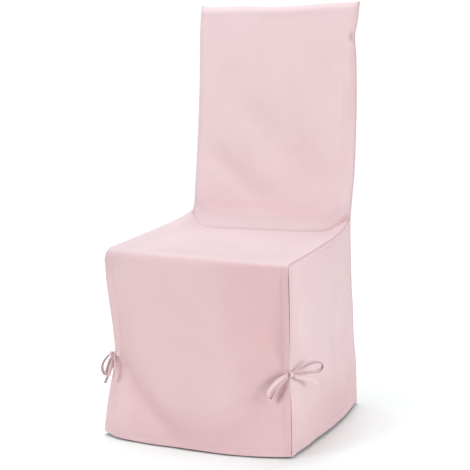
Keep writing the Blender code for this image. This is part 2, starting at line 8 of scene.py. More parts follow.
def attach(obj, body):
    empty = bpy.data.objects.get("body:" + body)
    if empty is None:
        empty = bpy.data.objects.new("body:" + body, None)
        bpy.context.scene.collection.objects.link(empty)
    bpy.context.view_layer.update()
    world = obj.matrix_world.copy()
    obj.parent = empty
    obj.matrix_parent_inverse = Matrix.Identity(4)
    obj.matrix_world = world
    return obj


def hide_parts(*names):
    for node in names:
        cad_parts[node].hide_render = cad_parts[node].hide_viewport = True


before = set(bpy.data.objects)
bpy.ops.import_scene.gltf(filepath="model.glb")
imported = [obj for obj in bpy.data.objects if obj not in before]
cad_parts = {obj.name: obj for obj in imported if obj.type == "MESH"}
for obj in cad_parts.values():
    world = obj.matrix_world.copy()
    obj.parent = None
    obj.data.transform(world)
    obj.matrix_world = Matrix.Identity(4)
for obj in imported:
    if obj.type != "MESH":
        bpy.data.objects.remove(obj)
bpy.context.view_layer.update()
print("frame loaded")

midSeat = np.array([-0.009, 0.003, 0.0])  # the tables below count from mid-seat

cotton = {
    "light": (0.800, 0.632, 0.655),
    "deep": (0.768, 0.590, 0.616),
    "toneRange": (0.30, 0.72),
    "roughness": 0.88,
    "specular": 0.25,
    "sheen": 0.06,
    "sheenRoughness": 0.45,
    "sheenTint": (1.0, 0.90, 0.92),
    "thread": 0.0011,       # width of one pair of threads
    "threadWobble": 0.6,
    "weaveBump": 0.35,
    "weaveDeep": 0.25,      # as a share of a thread
    "groove": 0.10,         # how much darker the gaps between threads are
    "slub": (700.0, 45.0),  # thick and thin stretches of the yarn, across and along
    "slubShare": 0.22,
    "patch": 9.0,           # soft changes of tone, per metre
    "patchRoughness": 0.55,
    "crumple": 42.0,        # small unevenness, per metre
    "crumpleBump": 0.25,
    "crumpleDeep": 0.0006,
    # whether the finish multiplies in the painted shade kept on each point
    "paintedShadeOn": True,
}

# painted shade: colours the cloth is multiplied by in seams, in the pinker shade of folds and of
# the front drop, above the crease, and inside the bow's loops
shadeTones = {
    "seam": (0.76, 0.67, 0.69), "paintedPinkShade": (0.90, 0.79, 0.79), "hollowShade": (0.92, 0.955, 0.955),
    "tapeShade": (0.50, 0.40, 0.43),
}

sheetLook = {
    "cloth": 0.0010,
    "step": 0.0048,         # spacing of the grid away from edges
    "seamRoll": 0.0021,
    "seamShade": 0.0016,
    "ridgeAt": 0.0056,
    "ridgeWide": 0.0026,
    "ridgeHigh": 0.0011,
    "hemWide": 0.018,
    "hemOut": 0.0004,
    "hemIn": 0.0007,
    "hemRound": 0.0007,
    "hemStep": (-0.0006, 0.0008),
    "foldGain": 1.80,       # the folds of the solids, drawn in more clearly
    "stitchDip": 0.0005,
    "stitchWide": 0.0009,
    "foldSteps": 25,
    "waveShift": (3.7, 1.9, 5.3),
    "waveForm": (0.9, 2.1, 3),     # roughness, spacing and number of its layers
    "slowWave": (0.15, 0.0018),    # how long and how high the cloth's own unevenness is
    "quickWave": (0.045, 0.0003),
    "waveCalm": 0.03,              # both die away towards hems and seams
    "creaseCalm": (0.0005, 0.010),
    "uprightBelow": 0.03,          # near the floor the cloth thickens level, not downwards
    "uprightEdge": 0.012,
    "smoothTo": 60.0,
}

stitchLook = {
    "long": 0.0030, "pitch": 0.0043, "wide": 0.00055, "high": 0.00030, "sides": 6,
    "rings": ((0.0, -0.6, 0.30), (0.35, 0.55, 0.9), (1.0, 0.9, 1.0)),  # inward, height, girth
}


def readTable(table, column, at):
    keys = np.array(table["at"])
    values = np.array(table[column])
    last = len(keys) - 1
    index = np.arange(last + 1)
    before = np.maximum(index - 1, 0)
    after = np.minimum(index + 1, last)
    slopes = (values[after] - values[before]) / (keys[after] - keys[before])
    at = np.clip(at, keys[0], keys[-1])
    low = np.clip(np.searchsorted(keys, at, side="right") - 1, 0, last - 1)
    span = keys[low + 1] - keys[low]
    t = (at - keys[low]) / span
    rise = values[low + 1] - values[low]
    ease = t * t * (3.0 - 2.0 * t)
    leadIn = t * (1.0 - t) ** 2 * slopes[low] * span
    leadOut = t * t * (t - 1.0) * slopes[low + 1] * span
    return values[low] + rise * ease + leadIn + leadOut


def mix(low, high, share):
    return low + (high - low) * share


def smoothStep(value, start, end):
    share = np.clip((value - start) / (end - start), 0.0, 1.0)
    return share * share * (3.0 - 2.0 * share)


def foldLift(folds, across, up):  # soft ridges and troughs along short curves
    steps = np.linspace(0.0, 1.0, sheetLook["foldSteps"])
    lift = np.zeros(np.broadcast(across, up).shape)
    for (ax, az), (bx, bz), (cx, cz), width, height, tip in folds:
        x = (1 - steps) ** 2 * ax + 2 * steps * (1 - steps) * bx + steps ** 2 * cx
        z = (1 - steps) ** 2 * az + 2 * steps * (1 - steps) * bz + steps ** 2 * cz
        away = np.hypot(across[..., None] - x, up[..., None] - z)
        nearest = away.argmin(axis=-1)
        fade = tip + (1.0 - tip) * np.sin(np.pi * steps[nearest])
        lift += height * fade * np.exp(-((away.min(axis=-1) / width) ** 2))
    return lift


def unevenness(points, seed, size, height):  # slow, shallow unevenness of hanging cloth
    shift = seed * Vector(sheetLook["waveShift"])
    form = sheetLook["waveForm"]
    lift = [noise.fractal(Vector(point) / size + shift, *form) for point in points.reshape(-1, 3)]
    return height * np.array(lift).reshape(points.shape[:2])


def stations(length, start, end, step):  # places along an edge, closer at hems and seams
    near = {
        "hem": (0.0, 0.0003, 0.0008, 0.002, 0.005, 0.009, 0.013, 0.0158, 0.0170, 0.0176, 0.0180,
                0.0184, 0.0190, 0.0202, 0.023),
        "seam": (0.0, 0.0002, 0.0006, 0.0011, 0.0018, 0.0028, 0.0040, 0.0052, 0.0064, 0.0080,
                 0.011),
        "plain": (0.0,),
    }
    low = list(near[start])
    high = [length - place for place in reversed(near[end])]
    count = max(int(round((high[0] - low[-1]) / step)), 2)
    middle = list(np.linspace(low[-1], high[0], count + 1))[1:-1]
    return np.array(low + middle + high) / length


def gridNormals(points, outward):
    across = np.gradient(points, axis=1)
    along = np.gradient(points, axis=0)
    normals = np.cross(across, along) * outward
    return normals / np.maximum(np.linalg.norm(normals, axis=2, keepdims=True), 1e-12)


def levelled(normals, low):
    normals[low, 2] = 0.0
    return normals / np.linalg.norm(normals, axis=2, keepdims=True)


def edgeDistances(points):  # along the cloth to each of its four edges
    across = np.linalg.norm(np.diff(points, axis=1), axis=2)
    along = np.linalg.norm(np.diff(points, axis=0), axis=2)
    fromFirst = np.pad(np.cumsum(across, axis=1), ((0, 0), (1, 0)))
    fromTop = np.pad(np.cumsum(along, axis=0), ((1, 0), (0, 0)))
    return {
        "first": fromFirst, "last": fromFirst[:, -1:] - fromFirst,
        "top": fromTop, "bottom": fromTop[-1:] - fromTop,
    }


def seamLift(away):  # the cloth turns in at a seam, with its allowance as a ridge beside it
    into = np.clip(1.0 - away / sheetLook["seamRoll"], 0.0, 1.0)
    turn = sheetLook["seamRoll"] * (1.0 - np.sqrt(1.0 - into * into))
    ridge = np.exp(-(((away - sheetLook["ridgeAt"]) / sheetLook["ridgeWide"]) ** 2))
    return sheetLook["ridgeHigh"] * ridge - turn


def hemLift(away):  # a hem is thicker, round at its edge and drawn in at its stitches
    onHem = smoothStep(sheetLook["hemWide"] - away, *sheetLook["hemStep"])
    into = np.clip(1.0 - away / sheetLook["hemRound"], 0.0, 1.0)
    turn = sheetLook["hemRound"] * (1.0 - np.sqrt(1.0 - into * into))
    dip = np.exp(-(((away - sheetLook["hemWide"]) / sheetLook["stitchWide"]) ** 2))
    return sheetLook["hemOut"] * onHem - turn - sheetLook["stitchDip"] * dip, onHem


def dressFace(points, outward, edges, folds, plane, seed):
    away = edgeDistances(points)
    normals = gridNormals(points, outward)
    lift = unevenness(points, seed, *sheetLook["slowWave"])
    lift = lift + unevenness(points, seed + 7, *sheetLook["quickWave"])
    drawn = foldLift(folds, points[..., plane], points[..., 2])
    for side in edges:
        lift *= smoothStep(away[side], 0.0, sheetLook["waveCalm"])
        drawn *= smoothStep(away[side], *sheetLook["creaseCalm"])
    lift += drawn
    thicker = np.zeros(points.shape[:2])
    for side, (kind, share) in edges.items():
        if kind == "seam":
            lift += seamLift(away[side]) * share
        else:
            hem, onHem = hemLift(away[side])
            lift += hem * share
            thicker = np.maximum(thicker, onHem * share)
    normals = levelled(normals, points[..., 2] < sheetLook["uprightBelow"])
    return points + normals * lift[..., None], thicker, away


def seamShade(away, edges):  # how far each point lies down in a seam, for the painted shade there
    shade = np.zeros(away["top"].shape)
    for side, (kind, share) in edges.items():
        if kind == "seam":
            shade = np.maximum(shade, share * np.exp(-((away[side] / sheetLook["seamShade"]) ** 2)))
    return shade


def toned(shade, tone):  # white where there is no shade, the tone where it is full
    return 1.0 - np.clip(np.asarray(shade, float), 0.0, 1.0)[..., None] * (1.0 - np.array(tone))


def addThing(name, made, finish=None):
    if finish:
        made.materials.append(finish)
    thing = bpy.data.objects.new(name, made)
    bpy.context.scene.collection.objects.link(thing)
    return thing


# the painted shade of the cloth, kept as a colour on each point for its finish to multiply by
def paintShade(made, paintedShades):
    layer = made.color_attributes.new(name="paintedShade", type="FLOAT_COLOR", domain="POINT")
    colours = np.ones((len(made.vertices), 4), dtype=np.float32)
    colours[:, :3] = paintedShades
    layer.data.foreach_set("color", colours.ravel())


def closedSheet(name, face, thicker, outward, away, paintedShades, finish):
    rows, columns = face.shape[:2]
    normals = levelled(gridNormals(face, outward), face[..., 2] < sheetLook["uprightEdge"])
    depth = sheetLook["cloth"] + sheetLook["hemIn"] * thicker
    back = face - normals * depth[..., None]
    shift = rows * columns
    number = np.arange(shift).reshape(rows, columns)
    under = number + shift
    a, b, c, d = number[:-1, :-1], number[:-1, 1:], number[1:, 1:], number[1:, :-1]
    quads = [
        np.stack((a, b, c, d), axis=-1).reshape(-1, 4),
        np.stack((a, d, c, b), axis=-1).reshape(-1, 4) + shift,
        np.stack((number[:-1, 0], number[1:, 0], under[1:, 0], under[:-1, 0]), axis=-1),
        np.stack((number[1:, -1], number[:-1, -1], under[:-1, -1], under[1:, -1]), axis=-1),
        np.stack((number[0, 1:], number[0, :-1], under[0, :-1], under[0, 1:]), axis=-1),
        np.stack((number[-1, :-1], number[-1, 1:], under[-1, 1:], under[-1, :-1]), axis=-1),
    ]
    faces = np.concatenate(quads)
    if outward < 0:
        faces = faces[:, ::-1]
    vertices = np.concatenate((face.reshape(-1, 3), back.reshape(-1, 3))) + midSeat
    made = bpy.data.meshes.new(name)
    made.from_pydata(vertices.tolist(), [], faces.tolist())
    onCloth = np.stack((away["first"] - away["last"], away["bottom"]), axis=-1)
    onCloth[..., 0] *= 0.5
    places = np.tile(onCloth.reshape(-1, 2), (2, 1))
    layer = made.uv_layers.new(name="cloth")
    layer.data.foreach_set("uv", places[faces.reshape(-1)].astype(np.float32).ravel())
    paintShade(made, np.tile(paintedShades.reshape(-1, 3), (2, 1)))
    made.shade_smooth()
    made.set_sharp_from_angle(angle=math.radians(sheetLook["smoothTo"]))
    return addThing(name, made, finish)


def stitchRow(face, normals, pitchShift):  # small raised stitches along a row of points
    steps = np.linalg.norm(np.diff(face, axis=0), axis=1)
    along = np.concatenate(([0.0], np.cumsum(steps)))
    made = []
    start = stitchLook["pitch"] * (0.5 + pitchShift)
    for place in np.arange(start, along[-1] - stitchLook["long"], stitchLook["pitch"]):
        ends = [place - stitchLook["long"] / 2, place, place + stitchLook["long"] / 2]
        made.append([
            (np.array([np.interp(at, along, face[:, k]) for k in range(3)]),
             np.array([np.interp(at, along, normals[:, k]) for k in range(3)])) for at in ends
        ])
    return made


def ringFaces(base, rings, sides, closed=False):  # the skin between rings of points in a row
    faces = []
    for i in range(rings if closed else rings - 1):
        here, ahead = base + i * sides, base + (i + 1) % rings * sides
        for k in range(sides):
            m = (k + 1) % sides
            faces.append((here + k, here + m, ahead + m, ahead + k))
    return faces


def ringCaps(base, rings, sides):
    last = base + (rings - 1) * sides
    return [list(range(base + sides - 1, base - 1, -1)), list(range(last, last + sides))]


def stitching(name, rows, finish):
    vertices, faces = [], []
    sides, high, wide = stitchLook["sides"], stitchLook["high"], stitchLook["wide"]
    for row in rows:
        for (first, _), (mid, normal), (last, _) in row:
            along = last - first
            along /= np.linalg.norm(along)
            normal = normal / np.linalg.norm(normal)
            across = np.cross(along, normal)
            base = len(vertices)
            rings = [(mix(first, mid, inward), h, g) for inward, h, g in stitchLook["rings"]]
            rings += [(mix(last, mid, inward), h, g) for inward, h, g in stitchLook["rings"][1::-1]]
            for centre, height, girth in rings:
                for k in range(sides):
                    angle = 2.0 * math.pi * k / sides
                    vertices.append(
                        centre + normal * high * (height + girth * math.sin(angle))
                        + across * (wide / 2 * girth * math.cos(angle)) + midSeat
                    )
            faces += ringFaces(base, len(rings), sides) + ringCaps(base, len(rings), sides)
    made = bpy.data.meshes.new(name)
    made.from_pydata([tuple(v) for v in vertices], [], faces)
    made.shade_smooth()
    return addThing(name, made, finish)


def wire(tree, start, end):
    tree.links.new(start, end)


def addNode(tree, kind, values):
    node = tree.nodes.new("ShaderNode" + kind)
    for socket, value in values.items():
        node.inputs[socket].default_value = value
    return node


def multiplied(tree, share, first, second):
    node = tree.nodes.new("ShaderNodeMix")
    node.data_type = "RGBA"
    node.blend_type = "MULTIPLY"
    node.inputs["Factor"].default_value = share
    wire(tree, first, node.inputs["A"])
    wire(tree, second, node.inputs["B"])
    return node.outputs["Result"]


def clothMaterial(name, look, tone=1.0):
    made = bpy.data.materials.new(name)
    made.use_nodes = True
    tree = made.node_tree
    shader = tree.nodes["Principled BSDF"]
    shader.inputs["Roughness"].default_value = look["roughness"]
    shader.inputs["Sheen Weight"].default_value = look["sheen"]
    shader.inputs["Sheen Roughness"].default_value = look["sheenRoughness"]
    shader.inputs["Sheen Tint"].default_value = (*look["sheenTint"], 1.0)
    shader.inputs["Specular IOR Level"].default_value = look["specular"]
    place = tree.nodes.new("ShaderNodeTexCoord").outputs["UV"]

    threads = []                                   # up the cloth, and across it
    for direction in ("X", "Y"):
        wave = addNode(tree, "TexWave", {
            "Scale": math.pi / (10.0 * look["thread"]), "Distortion": look["threadWobble"],
            "Detail": 1.0, "Detail Scale": 0.4,
        })
        wave.wave_type = "BANDS"
        wave.bands_direction = direction
        wire(tree, place, wave.inputs["Vector"])
        threads.append(wave.outputs["Fac"])
    over = addNode(tree, "TexChecker", {"Scale": 1.0 / look["thread"]})  # the thread on top
    wire(tree, place, over.inputs["Vector"])
    weave = tree.nodes.new("ShaderNodeMix")
    wire(tree, over.outputs["Fac"], weave.inputs["Factor"])
    wire(tree, threads[0], weave.inputs["A"])
    wire(tree, threads[1], weave.inputs["B"])

    stretch = addNode(tree, "Mapping", {"Scale": (*look["slub"], 1.0)})
    slub = addNode(tree, "TexNoise", {"Scale": 1.0, "Detail": 2.0})
    wire(tree, place, stretch.inputs["Vector"])
    wire(tree, stretch.outputs["Vector"], slub.inputs["Vector"])
    patch = addNode(tree, "TexNoise", {        # soft uneven tone of washed cotton
        "Scale": look["patch"], "Detail": 3.0, "Roughness": look["patchRoughness"],
    })
    wire(tree, place, patch.inputs["Vector"])
    blendTone = addNode(tree, "Mix", {"Factor": look["slubShare"]})
    wire(tree, patch.outputs["Fac"], blendTone.inputs["A"])
    wire(tree, slub.outputs["Fac"], blendTone.inputs["B"])
    shades = tree.nodes.new("ShaderNodeValToRGB")
    for stop, at, shade in zip(shades.color_ramp.elements, look["toneRange"], ("deep", "light")):
        stop.position = at
        stop.color = (*[c * tone for c in look[shade]], 1.0)
    wire(tree, blendTone.outputs["Result"], shades.inputs["Fac"])
    colour = multiplied(tree, look["groove"], shades.outputs["Color"], weave.outputs["Result"])
    if look["paintedShadeOn"]:                             # the painted shade: deeper in seams, pinker over folds, the front drop and the crease
        paintedShade = tree.nodes.new("ShaderNodeVertexColor")
        paintedShade.layer_name = "paintedShade"
        colour = multiplied(tree, 1.0, colour, paintedShade.outputs["Color"])
    wire(tree, colour, shader.inputs["Base Color"])

    bump = addNode(tree, "Bump", {
        "Strength": look["weaveBump"], "Distance": look["thread"] * look["weaveDeep"],
    })
    wire(tree, weave.outputs["Result"], bump.inputs["Height"])
    crumple = addNode(tree, "TexNoise", {"Scale": look["crumple"], "Detail": 2.0})
    wire(tree, place, crumple.inputs["Vector"])
    softBump = addNode(tree, "Bump", {
        "Strength": look["crumpleBump"], "Distance": look["crumpleDeep"],
    })
    wire(tree, crumple.outputs["Fac"], softBump.inputs["Height"])
    wire(tree, bump.outputs["Normal"], softBump.inputs["Normal"])
    wire(tree, softBump.outputs["Normal"], shader.inputs["Normal"])
    return made


pinkCotton = clothMaterial("pinkCotton", cotton)
tapeCotton = clothMaterial("tapeCotton", {**cotton, "patch": 30.0, "weaveBump": 0.25}, 1.03)
threadLook = {**cotton, "thread": 0.0004, "weaveBump": 0.1, "paintedShadeOn": False}
pinkThread = clothMaterial("pinkThread", threadLook, 0.97)
print("cloth finishes made")

# the two open front corners, from the floor up
corners = {
    "at": (0.000, 0.045, 0.105, 0.150, 0.196, 0.250, 0.310, 0.380, 0.447),
    "rightX": (0.2340, 0.2345, 0.2340, 0.2325, 0.2310, 0.2328, 0.2340, 0.2338, 0.2322),
    "rightY": (-0.226, -0.227, -0.228, -0.229, -0.230, -0.234, -0.238, -0.241, -0.241),
    "leftX": (-0.2425, -0.2385, -0.2290, -0.2200, -0.2140, -0.2155, -0.2205, -0.2265, -0.2280),
    "leftY": (-0.236, -0.234, -0.231, -0.229, -0.228, -0.231, -0.236, -0.241, -0.243),
    "bulge": (0.034, 0.032, 0.028, 0.025, 0.021, 0.016, 0.011, 0.006, 0.003),
}
slit = {
    "at": (0.000, 0.045, 0.105, 0.150, 0.196, 0.250, 0.310, 0.380, 0.425, 0.436, 0.447),
    "open": (0.0008, 0.0009, 0.0008, 0.0005, 0.0002, 0.0008, 0.0012, 0.0014, 0.0010, 0.0002, 0.0),
}
# the full back, from the floor up
back = {
    "at": (0.0, 0.1, 0.17, 0.25, 0.31, 0.38, 0.457, 0.52, 0.6, 0.76, 0.87, 0.915, 0.95, 1.0),
    "leftX": (-0.2210, -0.2200, -0.2190, -0.2165, -0.2135, -0.2110, -0.2090, -0.2060, -0.2030,
              -0.2010, -0.2030, -0.2040, -0.2035, -0.2020),
    "rightX": (0.2215, 0.2200, 0.2150, 0.2130, 0.2105, 0.2100, 0.2110, 0.2145, 0.2190, 0.2170,
               0.2115, 0.2070, 0.2115, 0.2160),
    "frontY": (0.200, 0.197, 0.194, 0.190, 0.186, 0.182, 0.177, 0.180, 0.188, 0.204, 0.215,
               0.219, 0.223, 0.228),
    "seamY": (0.230, 0.227, 0.224, 0.220, 0.216, 0.210, 0.202, 0.202, 0.208, 0.224, 0.234,
              0.238, 0.241, 0.246),
    "rearY": (0.246, 0.243, 0.240, 0.236, 0.233, 0.229, 0.227, 0.228, 0.233, 0.243, 0.251,
              0.254, 0.257, 0.262),
    "sideBulge": (0.015, 0.011, 0.008, 0.006, 0.004, 0.002, 0.0, 0.0, 0.0, 0.0, 0.0, 0.0, 0.0,
                  0.0),
}
# the crease between seat and inside back, from the left seam to the right one
crease = {
    "at": (-1.00, -0.93, -0.84, -0.68, 0.00, 0.62, 0.80, 0.92, 1.00),
    "y": (0.168, 0.160, 0.149, 0.135, 0.134, 0.144, 0.151, 0.160, 0.168),
    "z": (0.474, 0.4625, 0.449, 0.441, 0.444, 0.447, 0.451, 0.4635, 0.476),
    # where the painted shade along the crease grows from its faint left end
    "shadeRamp": (-0.18, -0.10),
}

seat = {
    "height": 0.447, "frontY": -0.241, "sag": 0.004, "climb": 0.050, "behind": 0.0005,
    "wide": 0.46, "deep": 0.37, "drop": 0.43,
    "leftRise": 0.014, "rightRise": 0.003, "risePower": 6,
    "leftRadius": 0.024, "rightRadius": 0.008, "radiusPower": 5,
    "sewnFrom": (0.420, 0.436),    # the front corners are open below, sewn above
    "sewnShade": 0.8, "bulgePower": 3, "bendLines": 12,
    "seamLines": (0.0002, 0.0006, 0.0011, 0.0028, 0.0040, 0.0064),
    "foldEnd": 0.2, "foldCalm": 0.08, "foldTop": (0.02, 0.10),
    "hem": {"at": (0.00, 0.02, 0.05, 0.12, 0.30, 0.50, 0.75, 0.95, 1.00),
            "z": (0.0075, 0.0048, 0.0027, 0.001, 0.000, 0.001, 0.000, 0.001, 0.002)},
    "folds": (
        ((-0.200, 0.215), (-0.150, 0.100), (-0.050, 0.030), 0.026, -0.009, 0.35),
        ((-0.225, 0.180), (-0.215, 0.080), (-0.185, 0.000), 0.030, 0.006, 0.35),
        ((0.215, 0.190), (0.140, 0.110), (0.040, 0.030), 0.028, -0.008, 0.35),
        ((0.205, 0.350), (0.175, 0.270), (0.215, 0.205), 0.035, -0.006, 0.35),
        ((-0.205, 0.340), (-0.190, 0.270), (-0.200, 0.210), 0.030, -0.005, 0.35),
        ((0.060, 0.240), (0.020, 0.130), (0.050, 0.010), 0.060, 0.005, 0.35),
    ),
    "creases": (
        ((-0.207, 0.200), (-0.192, 0.176), (-0.170, 0.160), 0.008, -0.0022, 0.1),
        ((-0.206, 0.190), (-0.196, 0.150), (-0.186, 0.110), 0.009, -0.0018, 0.1),
        ((0.220, 0.192), (0.196, 0.176), (0.168, 0.166), 0.008, -0.0022, 0.1),
        ((0.219, 0.188), (0.206, 0.150), (0.190, 0.118), 0.009, -0.0018, 0.1),
        ((0.220, 0.204), (0.203, 0.228), (0.192, 0.262), 0.010, -0.0014, 0.1),
        ((0.219, 0.176), (0.206, 0.152), (0.190, 0.122), 0.006, -0.0050, 0.3),
        ((0.208, 0.182), (0.196, 0.158), (0.180, 0.126), 0.006, 0.0020, 0.3),
    ),
    # painted pinker shade: beside the right slit, low on the drop, in the left trough, along the
    # right slit's edge, and just below the front edge
    "paintedPinkShade": (
        ((0.165, 0.400), (0.185, 0.310), (0.190, 0.180), 0.088, 0.56, 0.7),
        ((-0.130, 0.050), (0.000, 0.020), (0.200, 0.070), 0.050, 0.42, 0.6),
        ((-0.190, 0.190), (-0.120, 0.090), (-0.040, 0.040), 0.022, 0.25, 0.4),
        ((0.224, 0.420), (0.224, 0.230), (0.228, 0.010), 0.010, 0.70, 0.7),
        ((-0.210, 0.440), (0.000, 0.440), (0.210, 0.441), 0.008, 0.25, 1.0),
    ),
    # painted shade on the seat's left rounded edge
    "hollowShade": (((-0.222, 0.425), (-0.205, 0.440), (-0.195, 0.465), 0.034, 1.30, 1.0),),
    # painted pinker shade over the whole front drop, below its rounded top edge and away from the
    # crease
    "dropPinkShade": 0.5, "dropPinkShadeTop": (0.001, 0.010), "dropPinkShadeFrom": (0.35, 0.38),
    "creasePinkShade": (0.25, 0.6), "creasePinkShadeWide": 0.006,  # painted pinker shade along the crease: at the left end, and along the rest
}


def fullness(share):  # of the bag: 1 on its flat, 0 at its side seams
    fromSeam = bag["halfWidth"] * (1.0 - np.abs(share))
    return np.sqrt(1.0 - np.clip(1.0 - fromSeam / bag["edge"], 0.0, 1.0) ** 2)


def creasePoint(share):
    z = readTable(crease, "z", share)
    x = mix(readTable(back, "leftX", z), readTable(back, "rightX", z), (share + 1.0) / 2.0)
    return x, mix(readTable(back, "seamY", z), readTable(crease, "y", share), fullness(share)), z


def edgeRadius(u):
    return mix(seat["leftRadius"], seat["rightRadius"], u ** seat["radiusPower"])


def seatHeight(u, y):
    _, rearY, rearZ = creasePoint(2.0 * u - 1.0)
    share = (y - seat["frontY"]) / (rearY - seat["frontY"])
    edge = np.abs(2.0 * u - 1.0) ** seat["risePower"]
    rise = np.where(u < 0.5, seat["leftRise"], seat["rightRise"]) * edge * share
    level = seat["height"] + rise - seat["sag"] * np.sin(np.pi * u) * np.sin(np.pi * share)
    return mix(level, rearZ, np.exp(-(rearY - y) / seat["climb"]))


def frontPoint(u, z):
    inset = readTable(slit, "open", z)
    leftX = readTable(corners, "leftX", z) + inset
    rightX = readTable(corners, "rightX", z) - inset
    x = mix(leftX, rightX, u)
    y = mix(readTable(corners, "leftY", z), readTable(corners, "rightY", z), u)
    y = y - readTable(corners, "bulge", z) * (1.0 - np.abs(2.0 * u - 1.0) ** seat["bulgePower"])
    folds = foldLift(seat["folds"], x, z) * sheetLook["foldGain"]
    folds *= mix(seat["foldEnd"], 1.0, smoothStep(0.5 - np.abs(u - 0.5), 0.0, seat["foldCalm"]))
    y = y - folds * smoothStep(seat["height"] - z, *seat["foldTop"])
    return np.stack((x, y, z + 0.0 * x), axis=-1)


def seatFrontFace():
    u = stations(seat["wide"], "hem", "hem", sheetLook["step"])
    extra = np.array(seat["seamLines"]) / seat["wide"]
    u = np.unique(np.round(np.concatenate((u, extra, 1.0 - extra)), 7))
    radius = edgeRadius(u)
    startZ = seat["height"] - radius
    corner = frontPoint(u, startZ)
    arcY = corner[:, 1] + radius
    rearX, rearY, rearZ = creasePoint(2.0 * u - 1.0)
    rearY = rearY + seat["behind"]
    lines = []
    for share in stations(seat["deep"], "seam", "plain", sheetLook["step"]):
        y = mix(rearY, arcY, share)
        x = mix(rearX, corner[:, 0], share)
        lines.append(np.stack((x, y, seatHeight(u, y)), axis=-1))
    for angle in np.radians(np.linspace(0.0, 90.0, seat["bendLines"] + 1)[1:]):
        y = arcY - radius * np.sin(angle)
        z = startZ + radius * np.cos(angle)
        lines.append(np.stack((corner[:, 0], y, z), axis=-1))
    hemZ = readTable(seat["hem"], "z", u)
    for share in stations(seat["drop"], "plain", "hem", sheetLook["step"])[1:]:
        lines.append(frontPoint(u, mix(startZ, hemZ, share)))
    return np.array(lines)


skirtCut = {
    "deep": 0.46, "drop": 0.45, "frontGap": 0.0003, "rearGap": 0.0002, "topGap": 0.0012,
    "bulgePower": 1.3, "foldTop": (0.01, 0.08),
    "hemRamp": (-0.10, 0.25), "cornerRamp": (-0.02, 0.09),
}
skirt = {
    "right": {
        "outward": -1, "side": 1, "seed": 3, "hemLift": 0.0050, "cornerLift": 0.0,
        "folds": (
            ((-0.165, 0.370), (-0.160, 0.300), (-0.190, 0.215), 0.022, -0.006, 0.35),
            ((-0.200, 0.180), (-0.120, 0.165), (0.000, 0.130), 0.028, -0.006, 0.35),
            ((0.080, 0.300), (0.090, 0.180), (0.060, 0.050), 0.035, -0.005, 0.35),
            ((-0.190, 0.130), (-0.150, 0.060), (-0.140, 0.000), 0.035, 0.006, 0.35),
        ),
        "creases": (
            ((-0.222, 0.196), (-0.190, 0.178), (-0.150, 0.172), 0.009, -0.0022, 0.1),
            ((-0.222, 0.190), (-0.200, 0.150), (-0.180, 0.115), 0.010, -0.0018, 0.1),
            ((-0.222, 0.205), (-0.200, 0.240), (-0.190, 0.285), 0.010, -0.0014, 0.1),
            ((-0.150, 0.437), (0.090, 0.432), (0.196, 0.462), 0.0028, -0.0034, 0.3),
            ((-0.160, 0.442), (0.080, 0.438), (0.194, 0.467), 0.0030, 0.0016, 0.4),
        ),
        # painted pinker shade: low on the side, under its top seam, and beside the front slit
        "paintedPinkShade": (
            ((-0.200, 0.050), (0.000, 0.060), (0.200, 0.050), 0.060, 0.60, 0.7),
            ((-0.150, 0.435), (0.090, 0.430), (0.196, 0.460), 0.003, 0.40, 0.3),
            ((-0.228, 0.420), (-0.226, 0.300), (-0.220, 0.230), 0.006, 0.50, 0.5),
        ),
    },
    "left": {
        "outward": 1, "side": -1, "seed": 5, "hemLift": 0.0025, "cornerLift": 0.0065,
        "folds": (
            ((-0.160, 0.350), (-0.150, 0.280), (-0.190, 0.210), 0.026, -0.006, 0.35),
            ((-0.190, 0.180), (-0.110, 0.140), (-0.020, 0.040), 0.030, -0.007, 0.35),
            ((0.100, 0.320), (0.070, 0.180), (0.100, 0.030), 0.040, -0.004, 0.35),
        ),
        "creases": (
            ((-0.220, 0.196), (-0.190, 0.182), (-0.155, 0.180), 0.009, -0.0022, 0.1),
            ((-0.220, 0.188), (-0.195, 0.150), (-0.165, 0.112), 0.010, -0.0018, 0.1),
        ),
        # painted pinker shade low on the side
        "paintedPinkShade": (((-0.200, 0.050), (0.000, 0.060), (0.200, 0.050), 0.060, 0.40, 0.7),),
    },
}


def sidePoint(look, edge, u, z, folds):
    side = look["side"]
    frontX = readTable(corners, edge + "X", z)
    frontY = readTable(corners, edge + "Y", z) + skirtCut["frontGap"] + readTable(slit, "open", z)
    rearX = readTable(back, edge + "X", z)
    rearY = readTable(back, "seamY", z) - skirtCut["rearGap"]
    x = mix(frontX, rearX, u)
    y = mix(frontY, rearY, u)
    bulge = readTable(back, "sideBulge", z) * np.sin(np.pi * u ** skirtCut["bulgePower"])
    x = x + side * bulge
    if folds:
        calm = np.sqrt(np.maximum(np.sin(np.pi * u), 0.0))
        calm = calm * smoothStep(seat["height"] - z, *skirtCut["foldTop"])
        x = x + side * foldLift(folds, y, z) * sheetLook["foldGain"] * calm
    return np.stack((x, y, z + 0.0 * x), axis=-1)


def sideTop(look, y):
    u = 0.0 if look["side"] < 0 else 1.0
    radius = edgeRadius(u)
    startZ = seat["height"] - radius
    arcY = frontPoint(np.array([u]), np.array([startZ]))[0, 1] + radius
    _, rearY, rearZ = creasePoint(2.0 * u - 1.0)
    flat = seatHeight(np.full(np.shape(y), u), np.minimum(y, rearY))
    inner = radius - skirtCut["topGap"]
    flat = flat - skirtCut["topGap"]
    arc = startZ + np.sqrt(np.maximum(inner * inner - (arcY - y) ** 2, 0.0))
    return np.where(y < arcY, np.minimum(arc, flat), flat)


def sideFace(edge, look):
    u = stations(skirtCut["deep"], "hem", "seam", sheetLook["step"])
    top = np.full(len(u), seat["height"])
    for _ in range(4):
        top = sideTop(look, sidePoint(look, edge, u, top, None)[:, 1])
    hem = look["hemLift"] * smoothStep(u, *skirtCut["hemRamp"])
    hem = hem + look["cornerLift"] * (1.0 - smoothStep(u, *skirtCut["cornerRamp"]))
    return np.array([
        sidePoint(look, edge, u, mix(top, hem, share), look["folds"])
        for share in stations(skirtCut["drop"], "seam", "hem", sheetLook["step"])
    ])


